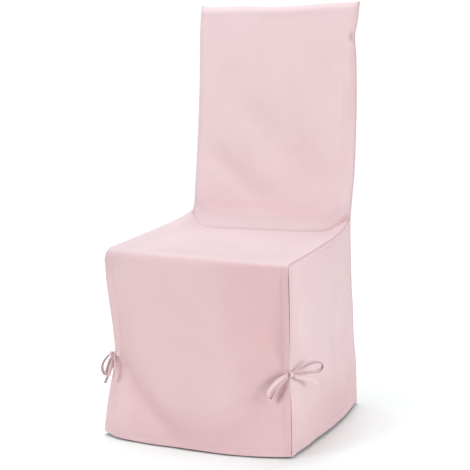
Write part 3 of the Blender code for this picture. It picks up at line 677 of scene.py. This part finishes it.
bag = {
    "halfWidth": 0.210, "edge": 0.020, "topRadius": 0.016, "creaseSweep": 0.060,
    "insideTall": 0.52, "outerTall": 0.98, "seamGap": 0.0002, "foldTop": (0.01, 0.10),
    "edgeAngles": (0, 8, 16, 25, 34, 43, 52, 60, 67, 73, 78, 81.5, 84.5, 87, 88.7, 89.6, 90.0),
    "topAngles": (14, 27, 39, 50, 60, 68, 74.5, 79, 82.5, 85, 87, 88.5, 89.5, 90.0),
    "top": {"at": (-0.210, -0.190, -0.100, 0.000, 0.050, 0.090, 0.140, 0.185, 0.217),
            "z": (0.984, 0.981, 0.984, 0.984, 0.9865, 0.990, 0.995, 0.997, 0.999)},
    "insideFolds": (
        ((-0.170, 0.640), (-0.110, 0.570), (-0.040, 0.530), 0.030, -0.004, 0.35),
        ((0.000, 0.690), (0.080, 0.600), (0.170, 0.560), 0.060, -0.005, 0.35),
        ((-0.090, 0.760), (-0.020, 0.690), (0.010, 0.640), 0.035, -0.003, 0.35),
    ),
    "insideCreases": (
        ((0.2085, 0.930), (0.2040, 0.920), (0.2045, 0.908), 0.0040, -0.0085, 0.5),
        ((0.2035, 0.908), (0.2060, 0.899), (0.2085, 0.887), 0.0036, 0.0045, 0.5),
        ((0.2000, 0.918), (0.1930, 0.914), (0.1820, 0.913), 0.0050, -0.0020, 0.3),
        ((0.188, 0.890), (0.190, 0.760), (0.189, 0.640), 0.004, -0.0013, 0.4),
        ((0.196, 0.890), (0.198, 0.760), (0.197, 0.640), 0.005, 0.0009, 0.4),
        ((-0.208, 0.505), (-0.192, 0.488), (-0.165, 0.476), 0.010, -0.0030, 0.3),
        ((0.212, 0.512), (0.196, 0.490), (0.168, 0.474), 0.010, -0.0035, 0.3),
        ((-0.150, 0.497), (0.000, 0.502), (0.150, 0.500), 0.016, 0.0020, 0.2),
        ((-0.140, 0.960), (0.000, 0.957), (0.150, 0.966), 0.012, -0.0012, 0.2),
    ),
    # painted pinker shade: just above the crease, down the right edge, and at the crease's right
    # end
    "paintedPinkShade": (
        ((-0.185, 0.478), (0.000, 0.470), (0.190, 0.478), 0.026, 0.45, 0.8),
        ((0.204, 0.900), (0.206, 0.750), (0.204, 0.560), 0.008, 0.35, 0.5),
        ((0.190, 0.461), (0.200, 0.469), (0.208, 0.482), 0.005, 1.20, 0.8),
    ),
    "topShade": 0.5,
    "creasePinkShade": (0.35, 0.8), "creasePinkShadeWide": 0.007,  # painted pinker shade along the crease: at the left end, and along the rest
    # painted shade over a band just above the crease, fading out upwards
    "creaseHollowShade": 0.060, "creaseHollowShadeFade": 0.030,
    "outerFolds": (
        ((-0.120, 0.520), (-0.100, 0.300), (-0.120, 0.020), 0.050, 0.007, 0.35),
        ((0.060, 0.480), (0.050, 0.250), (0.070, 0.010), 0.045, 0.006, 0.35),
        ((-0.030, 0.440), (-0.030, 0.220), (-0.010, 0.010), 0.040, -0.006, 0.35),
        ((0.140, 0.600), (0.135, 0.330), (0.150, 0.030), 0.035, -0.005, 0.35),
    ),
    "outerCreases": (
        ((-0.190, 0.470), (-0.120, 0.440), (-0.040, 0.452), 0.014, -0.0022, 0.2),
        ((0.190, 0.468), (0.120, 0.436), (0.050, 0.446), 0.014, -0.0022, 0.2),
        ((0.205, 0.925), (0.180, 0.905), (0.150, 0.900), 0.010, -0.0025, 0.2),
    ),
}


def bagPlaces():  # shares across the bag, closer together round its edges
    reach = bag["edge"] / bag["halfWidth"]
    edge = 1.0 - reach * (1.0 - np.sin(np.radians(bag["edgeAngles"])))
    flat = edge[0]
    count = int(round(2 * flat * bag["halfWidth"] / sheetLook["step"]))
    middle = np.linspace(-flat, flat, count + 1)
    return np.concatenate((-edge[:0:-1], middle, edge[1:]))


def bagHeights(bottom, top, face):
    start = top - bag["topRadius"]
    tall, kind = (bag["insideTall"], "seam") if face < 0 else (bag["outerTall"], "hem")
    body = stations(tall, kind, "plain", sheetLook["step"])
    low = [mix(bottom, start, share) for share in body]
    bend = [start + bag["topRadius"] * math.sin(math.radians(a)) for a in bag["topAngles"]]
    return np.array(low + bend)


def bagPoint(share, z, top, face):
    x = mix(readTable(back, "leftX", z), readTable(back, "rightX", z), (share + 1.0) / 2.0)
    seamY = readTable(back, "seamY", z)
    depth = np.abs(readTable(back, "frontY" if face < 0 else "rearY", z) - seamY)
    intoTop = np.clip(1.0 - (top - z) / bag["topRadius"], 0.0, 1.0)
    full = fullness(share) * np.sqrt(np.maximum(1.0 - intoTop ** 2, 0.0))
    y = seamY + face * (depth * full + bag["seamGap"])
    folds = bag["insideFolds"] if face < 0 else bag["outerFolds"]
    lift = foldLift(folds, x, z) * sheetLook["foldGain"]
    y = y + face * lift * full * smoothStep(top - z, *bag["foldTop"])
    return np.stack((x, y, z + 0.0 * x), axis=-1)


def bagFace(face):
    shares = bagPlaces()
    topX = mix(back["leftX"][-1], back["rightX"][-1], (shares + 1.0) / 2.0)
    top = readTable(bag["top"], "z", topX)
    _, creaseY, bottom = creasePoint(shares)
    if face > 0:
        bottom = np.zeros(len(shares))
    z = np.array([bagHeights(low, high, face) for low, high in zip(bottom, top)]).T
    points = np.array([bagPoint(shares, line, top, face) for line in z])
    if face < 0:
        lean = np.clip(1.0 - (z - bottom) / bag["creaseSweep"], 0.0, 1.0) ** 2
        points[..., 1] -= (points[0, :, 1] - creaseY) * lean
    return points


def finishPiece(thing, node, stitches=()):
    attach(thing, "root")
    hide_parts(node)
    for extra in stitches:
        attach(extra, "root")


def hemStitches(face, outward, away, side):  # one stitch row along a hem's inner edge
    normals = gridNormals(face, outward)
    if side in ("first", "last"):
        line = away[side][len(face) // 2]
        column = int(np.abs(line - sheetLook["hemWide"]).argmin())
        return face[:, column], normals[:, column]
    line = away[side][:, face.shape[1] // 2]
    row = int(np.abs(line - sheetLook["hemWide"]).argmin())
    return face[row], normals[row]


def creaseShade(look, base, away):  # the painted pinker shade along the crease, fainter at its left end
    low, high = look["creasePinkShade"]
    share = mix(low, high, smoothStep(base[..., 0], *crease["shadeRamp"]))
    return share * np.exp(-((away["top"] / look["creasePinkShadeWide"]) ** 2))


# seat and front drop
base = seatFrontFace()
sewn = smoothStep(base[..., 2], *seat["sewnFrom"])
sewnEdges = {"first": ("seam", sewn), "last": ("seam", sewn), "top": ("seam", 0.0)}
openEdges = {"first": ("hem", 1.0 - sewn), "last": ("hem", 1.0 - sewn), "bottom": ("hem", 1.0),
             "top": ("seam", 0.0)}
closed, _, away = dressFace(base, -1, sewnEdges, seat["creases"], 0, 1)
opened, onHem, _ = dressFace(base, -1, openEdges, seat["creases"], 0, 1)
face = mix(opened, closed, sewn[..., None])
# painted shade: in the sewn seams, pinker over folds, across the whole front drop and along the
# crease, and on the seat's left rounded edge
shade = seamShade(away, sewnEdges) * seat["sewnShade"]
paintedPinkShade = foldLift(seat["paintedPinkShade"], base[..., 0], base[..., 2]) + seat["dropPinkShade"]
paintedPinkShade *= smoothStep(seat["height"] - base[..., 2], *seat["dropPinkShadeTop"])
paintedPinkShade *= smoothStep(away["top"], *seat["dropPinkShadeFrom"])
paintedPinkShade += creaseShade(seat, base, away)
hollowShade = foldLift(seat["hollowShade"], base[..., 0], base[..., 2])
paintedShades = toned(shade, shadeTones["seam"]) * toned(paintedPinkShade, shadeTones["paintedPinkShade"]) * toned(hollowShade, shadeTones["hollowShade"])
seatFront = closedSheet("seatFrontPanel", face, onHem, -1, away, paintedShades, pinkCotton)
dropRows = np.flatnonzero(base[:, base.shape[1] // 2, 2] < seat["sewnFrom"][0])
rowsOfStitches = []
for side in ("first", "last", "bottom"):
    line, normals = hemStitches(face, -1, away, side)
    if side != "bottom":
        line, normals = line[dropRows], normals[dropRows]
    rowsOfStitches.append(stitchRow(line, normals, pitchShift=0.1))
seatStitches = stitching("seatFrontStitches", rowsOfStitches, pinkThread)
finishPiece(seatFront, "seat_front_panel", [seatStitches])
print("seat and front drop made")

# the two skirt sides
for edge, look in skirt.items():
    base = sideFace(edge, look)
    edges = {"first": ("hem", 1.0), "last": ("seam", 1.0),
             "top": ("seam", 1.0), "bottom": ("hem", 1.0)}
    face, thicker, away = dressFace(base, look["outward"], edges, look["creases"], 1, look["seed"])
    # painted shade in the seams, and pinker over the side's folds and low down
    paintedPinkShade = foldLift(look["paintedPinkShade"], base[..., 1], base[..., 2])
    paintedShades = toned(seamShade(away, edges), shadeTones["seam"]) * toned(paintedPinkShade, shadeTones["paintedPinkShade"])
    panel = closedSheet(edge + "SidePanel", face, thicker, look["outward"], away, paintedShades, pinkCotton)
    rowsOfStitches = [
        stitchRow(*hemStitches(face, look["outward"], away, side), pitchShift=0.3)
        for side in ("first", "bottom")
    ]
    stitches = stitching(edge + "SideStitches", rowsOfStitches, pinkThread)
    finishPiece(panel, edge + "_side_panel", [stitches])
    print(edge, "skirt side made")

# the bag: its inside face and the full back
sewnRound = {"first": ("seam", 1.0), "last": ("seam", 1.0),
             "bottom": ("seam", 1.0), "top": ("seam", 0.0)}
base = bagFace(-1)
face, thicker, away = dressFace(base, 1, sewnRound, bag["insideCreases"], 0, 11)
# painted shade: in the seams, half as deep along the top seam, pinker over folds and along the
# crease, and a band just above the crease
shade = seamShade(away, {**sewnRound, "bottom": ("seam", bag["topShade"])})
paintedPinkShade = foldLift(bag["paintedPinkShade"], base[..., 0], base[..., 2]) + creaseShade(bag, base, away)
hollowShade = smoothStep(bag["creaseHollowShade"] - away["top"], 0.0, bag["creaseHollowShadeFade"])
paintedShades = toned(shade, shadeTones["seam"]) * toned(paintedPinkShade, shadeTones["paintedPinkShade"]) * toned(hollowShade, shadeTones["hollowShade"])
insideBack = closedSheet("insideBackPanel", face, thicker, 1, away, paintedShades, pinkCotton)
finishPiece(insideBack, "inside_back_panel")
edges = {**sewnRound, "top": ("hem", 1.0)}
face, thicker, away = dressFace(bagFace(1), -1, edges, bag["outerCreases"], 0, 13)
# painted shade in the seams of the full back
paintedShades = toned(seamShade(away, edges), shadeTones["seam"])
outerBack = closedSheet("outerBackPanel", face, thicker, -1, away, paintedShades, pinkCotton)
backStitches = stitchRow(*hemStitches(face, -1, away, "top"), pitchShift=0.2)
outerStitches = stitching("outerBackStitches", [backStitches], pinkThread)
finishPiece(outerBack, "outer_back_panel", [outerStitches])
print("bag made")

# The bows. Each path counts from its corner at the height of the tie: out from the skirt side,
# in front of the drop, above, then the tape's turn in degrees, its share of full width, and on
# some paths how deep the painted shade along its near rim is.
bow = {
    # the tapes' painted shade is at most this deep: inside the loops, along near rims and at the
    # knot
    "height": 0.196, "wide": 0.0095, "thick": 0.0017, "step": 0.0012, "loopShade": 0.8,
    # how much painted shade each loop's inside takes, per bow
    "loopShadeShares": {"right": {"front": 0.5, "side": 1.0}, "left": {"front": 0.3, "side": 0.4}},
    "puff": 3.0,                         # a tape is thicker where it gathers
    "insideShade": (0.6, 0.8, 0.1),           # how deep the painted shade inside a loop is: its base, how much deeper where the inside faces down, and its least
    # painted shade along a tape's near rim, and where the tape gathers into the knot
    "rim": (0.2, 2.5), "gatherShade": 1.2,
    "right": {
        "sideLoop": (
            (0.0045, -0.0030, 0.0022, 70, 0.7, 0.2), (0.0140, -0.0200, 0.0080, 62, 0.9, 0.6),
            (0.0240, -0.0430, 0.0140, 58, 1.0, 0.9), (0.0350, -0.0660, 0.0160, 60, 1.0, 0.9),
            (0.0430, -0.0850, 0.0085, 72, 1.0, 0.9), (0.0430, -0.0880, -0.0030, 100, 1.0, 0.6),
            (0.0370, -0.0760, -0.0090, 125, 1.0, 0.4), (0.0250, -0.0470, -0.0060, 122, 0.9, 0.5),
            (0.0140, -0.0200, -0.0040, 118, 0.8, 0.4), (0.0045, -0.0030, -0.0016, 110, 0.6, 0.2),
        ),
        "sideTail": (
            (0.0045, -0.0020, -0.0010, 20, 0.5), (0.0120, -0.0180, -0.0110, 15, 0.9),
            (0.0240, -0.0560, -0.0230, 30, 1.0), (0.0320, -0.0880, -0.0400, 45, 1.0),
        ),
        "frontLoop": (
            (-0.0020, 0.0050, 0.0018, 110, 0.7), (-0.0110, 0.0120, -0.0055, 125, 0.95),
            (-0.0270, 0.0180, -0.0195, 135, 1.0), (-0.0420, 0.0220, -0.0390, 120, 1.0),
            (-0.0440, 0.0225, -0.0500, 80, 1.0), (-0.0390, 0.0180, -0.0575, 65, 1.0),
            (-0.0315, 0.0135, -0.0450, 75, 0.7), (-0.0250, 0.0120, -0.0330, 85, 0.6),
            (-0.0120, 0.0085, -0.0170, 95, 0.6), (-0.0020, 0.0045, -0.0014, 100, 0.6),
        ),
        "frontTail": (
            (-0.0010, 0.0060, -0.0010, 130, 0.7), (-0.0115, 0.0130, -0.0155, 150, 0.65),
            (-0.0225, 0.0175, -0.0300, 152, 0.6), (-0.0285, 0.0180, -0.0450, 152, 0.6),
            (-0.0365, 0.0175, -0.0620, 150, 0.7),
        ),
    },
    "left": {
        "sideLoop": (
            (0.0045, -0.0020, 0.0016, 70, 0.6, 0.6), (0.0200, -0.0030, -0.0085, 68, 0.9, 1.0),
            (0.0325, -0.0060, -0.0235, 58, 1.0, 1.0), (0.0390, -0.0080, -0.0365, 48, 1.0, 0.7),
            (0.0385, -0.0090, -0.0480, 55, 1.0, 0.6), (0.0290, -0.0070, -0.0570, 75, 1.0, 1.0),
            (0.0200, -0.0050, -0.0475, 55, 0.9, 0.3), (0.0130, -0.0040, -0.0320, 50, 0.8, 0.1),
            (0.0070, -0.0020, -0.0130, 60, 0.7, 0.1), (0.0040, -0.0010, -0.0015, 90, 0.5, 0.3),
        ),
        "sideTail": (
            (0.0045, -0.0020, -0.0010, 40, 0.5, 0.3), (0.0060, -0.0080, -0.0180, 45, 0.7, 0.2),
            (0.0120, -0.0110, -0.0340, 50, 0.7, 0.2), (0.0260, -0.0150, -0.0560, 62, 0.9, 0.5),
            (0.0375, -0.0170, -0.0800, 70, 0.9, 0.5),
        ),
        "frontLoop": (
            (-0.0010, 0.0050, 0.0012, 90, 0.45), (0.0070, 0.0100, -0.0120, 75, 0.9),
            (0.0140, 0.0100, -0.0300, 60, 1.0), (0.0170, 0.0100, -0.0450, 80, 1.0),
            (0.0120, 0.0120, -0.0530, 100, 1.0), (0.0060, 0.0150, -0.0410, 115, 1.0),
            (0.0010, 0.0140, -0.0220, 110, 0.9), (-0.0010, 0.0060, -0.0020, 90, 0.45),
        ),
        "frontTail": (
            (-0.0010, 0.0050, -0.0010, 20, 0.5), (-0.0070, 0.0140, -0.0160, 15, 0.9),
            (-0.0110, 0.0180, -0.0380, 20, 1.0), (-0.0100, 0.0210, -0.0600, 30, 1.0),
        ),
    },
    # from the panel's edge to the knot: distance from the edge, lift, share of full width
    "lead": ((0.013, 0.0006, 1.0), (0.009, 0.0008, 1.0), (0.005, 0.0010, 0.9),
             (0.002, 0.0022, 0.7), (-0.0005, 0.0036, 0.5)),
    "dropWide": 0.44, "smoothTo": 70.0,
}
knot = {
    "out": 0.0044, "wide": 0.0064, "deep": 0.0050, "tall": 0.0054,
    "turns": 40, "wrap": 0.62, "skew": 0.0008, "lean": 0.45, "underShade": (0.9, 0.3),
    "rows": 12, "columns": 20, "pucker": 0.10, "drop": 0.0036,
    "coreDeep": 0.88, "coreTall": 0.86, "lowShade": 0.95, "highShade": 0.25,
}


def tiePlace(edge, out, front, rise):
    side = skirt[edge]["side"]
    x = readTable(corners, edge + "X", bow["height"])
    y = readTable(corners, edge + "Y", bow["height"])
    return np.array([x + side * out, y - front, bow["height"] + rise])


def curveThrough(rows, step):  # a smooth line through rows of numbers, its first three a place
    rows = np.array(rows, float)
    padded = np.concatenate((2 * rows[:1] - rows[1:2], rows, 2 * rows[-1:] - rows[-2:-1]))
    made = []
    for i in range(len(rows) - 1):
        p0, p1, p2, p3 = padded[i:i + 4]
        count = max(int(np.linalg.norm((p2 - p1)[:3]) / step), 2)
        for t in np.linspace(0.0, 1.0, count, endpoint=False):
            made.append(0.5 * (2 * p1 + (p2 - p0) * t + (2 * p0 - 5 * p1 + 4 * p2 - p3) * t * t
                               + (3 * p1 - p0 - 3 * p2 + p3) * t ** 3))
    made.append(rows[-1])
    return np.array(made)


tapeSection = (  # half the outline of a folded tape stitched along both edges
    (-0.50, 0.00), (-0.49, 0.28), (-0.45, 0.46), (-0.38, 0.50), (-0.33, 0.36), (-0.26, 0.46),
    (0.00, 0.50), (0.26, 0.46), (0.33, 0.36), (0.38, 0.50), (0.45, 0.46), (0.49, 0.28),
    (0.50, 0.00),
)
tapeOutline = np.array(tapeSection + tuple((x, -y) for x, y in tapeSection[-2:0:-1]))


def tapeShell(line, wideways, shares, rimShades=None, closed=False, loopShadeShare=0.0):
    after = np.roll(line, -1, axis=0) if closed else np.concatenate((line[1:], line[-1:]))
    before = np.roll(line, 1, axis=0) if closed else np.concatenate((line[:1], line[:-1]))
    along = after - before
    along /= np.linalg.norm(along, axis=1, keepdims=True)
    wide = wideways - (wideways * along).sum(axis=1, keepdims=True) * along
    wide /= np.linalg.norm(wide, axis=1, keepdims=True)
    thick = np.cross(wide, along)
    middle = line.mean(axis=0)
    rimShades = np.zeros(len(line)) if rimShades is None else rimShades
    vertices, shade = [], []
    deep, slope, least = bow["insideShade"]
    rimShadeBase, rimShadeSlope = bow["rim"]
    for i in range(len(line)):
        gather = 1.0 - shares[i]
        high = bow["thick"] * (1.0 + bow["puff"] * gather)
        nearer = -np.sign(wide[i][1])
        inward = np.sign(thick[i] @ (middle - line[i]))
        # painted shade: inside a loop, along the near rim, and where the tape gathers into the knot
        insideShade = np.clip(deep - slope * thick[i][2] * inward, least, 1.0)
        for a, b in tapeOutline:
            vertices.append(line[i] + wide[i] * (a * bow["wide"] * shares[i])
                            + thick[i] * (b * high))
            inside = max(inward * b * 2.0, 0.0) * insideShade * loopShadeShare
            rim = rimShades[i] * min(max(rimShadeBase + rimShadeSlope * a * nearer, 0.0), 1.0)
            gatherShade = min(bow["gatherShade"] * gather, 1.0)
            shade.append(bow["loopShade"] * max(inside, rim, gatherShade))
    rings, sides = len(line), len(tapeOutline)
    faces = ringFaces(0, rings, sides, closed)
    if not closed:
        faces += ringCaps(0, rings, sides)
    length = np.linalg.norm(np.diff(line, axis=0), axis=1).sum()
    return vertices, faces, length, shade


def tapePath(edge, rows):
    side = skirt[edge]["side"]
    placed = [(*tiePlace(edge, *row[:3]), row[3], row[4], row[5] if len(row) > 5 else 0.0)
              for row in rows]
    curve = curveThrough(placed, bow["step"])
    line, turn, shares = curve[:, :3], np.radians(curve[:, 3]) * side, curve[:, 4]
    facing = np.array([side * math.sqrt(0.5), -math.sqrt(0.5), 0.0])
    along = np.gradient(line, axis=0)
    along /= np.linalg.norm(along, axis=1, keepdims=True)
    across = np.cross(along, facing)
    across /= np.linalg.norm(across, axis=1, keepdims=True)
    faceways = np.cross(across, along)
    wideways = across * np.cos(turn)[:, None] + faceways * np.sin(turn)[:, None]
    return line, wideways, shares, curve[:, 5]


def knotShells(edge):  # the drawn-up middle of the bow and the turn of tape round it
    side = skirt[edge]["side"]
    centre = tiePlace(edge, knot["out"], knot["out"], 0.0)
    outward = np.array([side, -1.0, 0.0]) / math.sqrt(2.0)
    sideways = np.array([side, 1.0, 0.0]) / math.sqrt(2.0)
    upward = np.array([0.0, 0.0, 1.0])

    def around(deep, tall, a):
        return outward * (deep * math.cos(a)) + upward * (tall * math.sin(a))

    angles = np.linspace(0.0, 2 * math.pi, knot["turns"], endpoint=False)
    ring = np.array([
        centre + around(knot["deep"], knot["tall"], a) + sideways * (knot["skew"] * math.sin(a))
        for a in angles
    ])
    wideways = np.array([sideways + upward * (knot["lean"] * math.cos(a)) for a in angles])
    shares = np.full(len(ring), knot["wrap"])
    wrap, wrapFaces, length, _ = tapeShell(ring, wideways, shares, closed=True)
    # painted shade under the wrap
    full, start = knot["underShade"]
    wrapShade = [full * max(-math.sin(a) - start, 0.0) for a in angles for _ in tapeOutline]

    core = []
    for i in range(knot["rows"] + 1):
        polar = math.pi * i / knot["rows"]
        for k in range(knot["columns"]):
            a = 2 * math.pi * k / knot["columns"]
            wave = knot["pucker"] * math.cos(3 * a + 2.6 * math.cos(polar))
            girth = (1.0 + wave) * math.sin(polar)
            deep, tall = knot["deep"] * knot["coreDeep"], knot["tall"] * knot["coreTall"]
            core.append(centre + sideways * (knot["wide"] * math.cos(polar))
                        - upward * knot["drop"] + around(deep * girth, tall * girth, a))
    coreFaces = ringFaces(0, knot["rows"] + 1, knot["columns"])
    # painted shade on the core: deep below its middle, light above
    coreShade = [knot["lowShade"] if v[2] < centre[2] else knot["highShade"] for v in core]
    return [(wrap, wrapFaces, length, wrapShade), (core, coreFaces, 0.0, coreShade)]


def tieLead(edge, onFront):  # from the panel's edge to the knot
    rows = []
    for distance, lift, share in bow["lead"]:
        if onFront:
            inward = distance / bow["dropWide"]
            u = 1.0 - inward if edge == "right" else inward
            point = frontPoint(np.array([u]), np.array([bow["height"]]))[0]
            point = point - np.array([0.0, lift, 0.0])
        else:
            point = tiePlace(edge, lift, -distance, 0.0)
        rows.append((*point, share))
    curve = curveThrough(rows, bow["step"])
    wideways = np.tile(np.array([0.0, 0.0, 1.0]), (len(curve), 1))
    return curve[:, :3], wideways, curve[:, 3]


def joinShells(name, shells, finish):
    vertices, faces, shade, length = [], [], [], 0.0
    for shellVertices, shellFaces, shellLength, shellShade in shells:
        base = len(vertices)
        shade += shellShade
        vertices += [tuple(v + midSeat) for v in shellVertices]
        faces += [[base + k for k in face] for face in shellFaces]
        length += shellLength
    made = bpy.data.meshes.new(name)
    made.from_pydata(vertices, [], faces)
    # the painted shade of the tapes, as a colour on each point
    paintShade(made, toned(shade, shadeTones["tapeShade"]))
    made.shade_smooth()
    made.set_sharp_from_angle(angle=math.radians(bow["smoothTo"]))
    layer = made.uv_layers.new(name="cloth")
    for loop in made.loops:
        place = made.vertices[loop.vertex_index].co
        layer.data[loop.index].uv = (place.x + place.y, place.z)
    return addThing(name, made, finish), length


for edge in ("right", "left"):
    for part in ("front", "side"):
        shells = [
            tapeShell(*tieLead(edge, part == "front")),
            tapeShell(*tapePath(edge, bow[edge][part + "Loop"]),
                      loopShadeShare=bow["loopShadeShares"][edge][part]),
            tapeShell(*tapePath(edge, bow[edge][part + "Tail"])),
        ]
        if part == "front":
            shells += knotShells(edge)
        name = "tie" + edge.capitalize() + part.capitalize()
        tie, length = joinShells(name, shells, tapeCotton)
        finishPiece(tie, "tie_" + edge + "_" + part)
        print(name, "made,", round(length, 3), "m of tape")

# floor, light and camera
studio = {
    "floorTone": (0.915, 0.965, 0.96),
    "floorReach": 1.8, "floorCorners": 96, "floorRoughness": 0.9, "floorSpecular": 0.1,
    "floorLevel": -0.0038,  # the cover hangs just clear of the floor
    "lightsAim": (0.0, 0.0, 0.45),
    "key": {"at": (3.0, -1.1, 1.05), "size": 1.2, "power": 47.0, "colour": (0.97, 1.0, 1.0)},
    "fill": {"at": (-1.8, -2.9, 1.8), "size": 1.6, "power": 52.0, "colour": (0.97, 1.0, 1.0)},
    "above": {"at": (-0.6, 0.2, 3.1), "size": 1.8, "power": 50.0, "colour": (0.84, 1.0, 1.0)},
    "behind": {"at": (-0.3, 3.0, 2.2), "size": 1.8, "power": 42.0, "colour": (0.95, 1.0, 1.0)},
    "sky": 0.47,
    "skyColour": (1.0, 0.84, 0.84),
    "surround": 1.05,       # how bright it is all round, as the camera sees it
}


def floorSweep():
    made = bpy.data.meshes.new("floor")
    reach, count = studio["floorReach"], studio["floorCorners"]
    turns = [2.0 * math.pi * k / count for k in range(count)]
    rim = [(reach * math.cos(a), reach * math.sin(a), studio["floorLevel"]) for a in turns]
    made.from_pydata(rim, [], [list(range(count))])
    paper = bpy.data.materials.new("paleFloor")
    paper.use_nodes = True
    shader = paper.node_tree.nodes["Principled BSDF"]
    shader.inputs["Base Color"].default_value = (*studio["floorTone"], 1.0)
    shader.inputs["Roughness"].default_value = studio["floorRoughness"]
    shader.inputs["Specular IOR Level"].default_value = studio["floorSpecular"]
    thing = addThing("floor", made, paper)


def softLight(name, look):
    lamp = bpy.data.lights.new(name, "AREA")
    lamp.energy = look["power"]
    lamp.color = look["colour"]
    lamp.size = look["size"]
    thing = addThing(name, lamp)
    thing.location = look["at"]
    aim = Vector(studio["lightsAim"]) - thing.location
    thing.rotation_euler = aim.to_track_quat("-Z", "Y").to_euler()


def paleSurround():
    made = bpy.data.worlds.new("paleSurround")
    made.use_nodes = True
    tree = made.node_tree
    light = tree.nodes["Background"]
    light.inputs["Color"].default_value = (*studio["skyColour"], 1.0)
    light.inputs["Strength"].default_value = studio["sky"]
    seen = tree.nodes.new("ShaderNodeBackground")
    seen.inputs["Color"].default_value = (1.0, 1.0, 1.0, 1.0)
    seen.inputs["Strength"].default_value = studio["surround"]
    ray = tree.nodes.new("ShaderNodeLightPath")
    both = tree.nodes.new("ShaderNodeMixShader")
    wire(tree, ray.outputs["Is Camera Ray"], both.inputs["Fac"])
    wire(tree, light.outputs["Background"], both.inputs[1])
    wire(tree, seen.outputs["Background"], both.inputs[2])
    wire(tree, both.outputs["Shader"], tree.nodes["World Output"].inputs["Surface"])
    bpy.context.scene.world = made


floorSweep()
for name in ("key", "fill", "above", "behind"):
    softLight(name, studio[name])
paleSurround()
bpy.context.scene.view_settings.view_transform = "Standard"

lookout = {
    "azimuth": 24.433, "elevation": 10.804, "roll": -0.394, "distance": 3.757,
    "target": (-0.013, -0.001, 0.455), "sensor": 36.0, "focal": 1572.185 / 470.0 * 36.0,
    "reach": 60.0,
}


def makeCamera():
    lens = bpy.data.cameras.new("photoView")
    lens.sensor_width = lookout["sensor"]
    lens.lens = lookout["focal"]
    lens.clip_end = lookout["reach"]
    thing = addThing("photoView", lens)
    azimuth, elevation, roll = (math.radians(lookout[k]) for k in ("azimuth", "elevation", "roll"))
    backward = Vector((math.sin(azimuth) * math.cos(elevation),
                       -math.cos(azimuth) * math.cos(elevation), math.sin(elevation)))
    level = (-backward).cross(Vector((0.0, 0.0, 1.0))).normalized()
    upright = level.cross(-backward)
    across = level * math.cos(roll) + upright * math.sin(roll)
    upward = upright * math.cos(roll) - level * math.sin(roll)
    place = Vector(lookout["target"]) + backward * lookout["distance"]
    thing.matrix_world = Matrix.Translation(place) @ Matrix(
        (across, upward, backward)).transposed().to_4x4()
    bpy.context.scene.camera = thing


makeCamera()
print("floor, light and camera made")
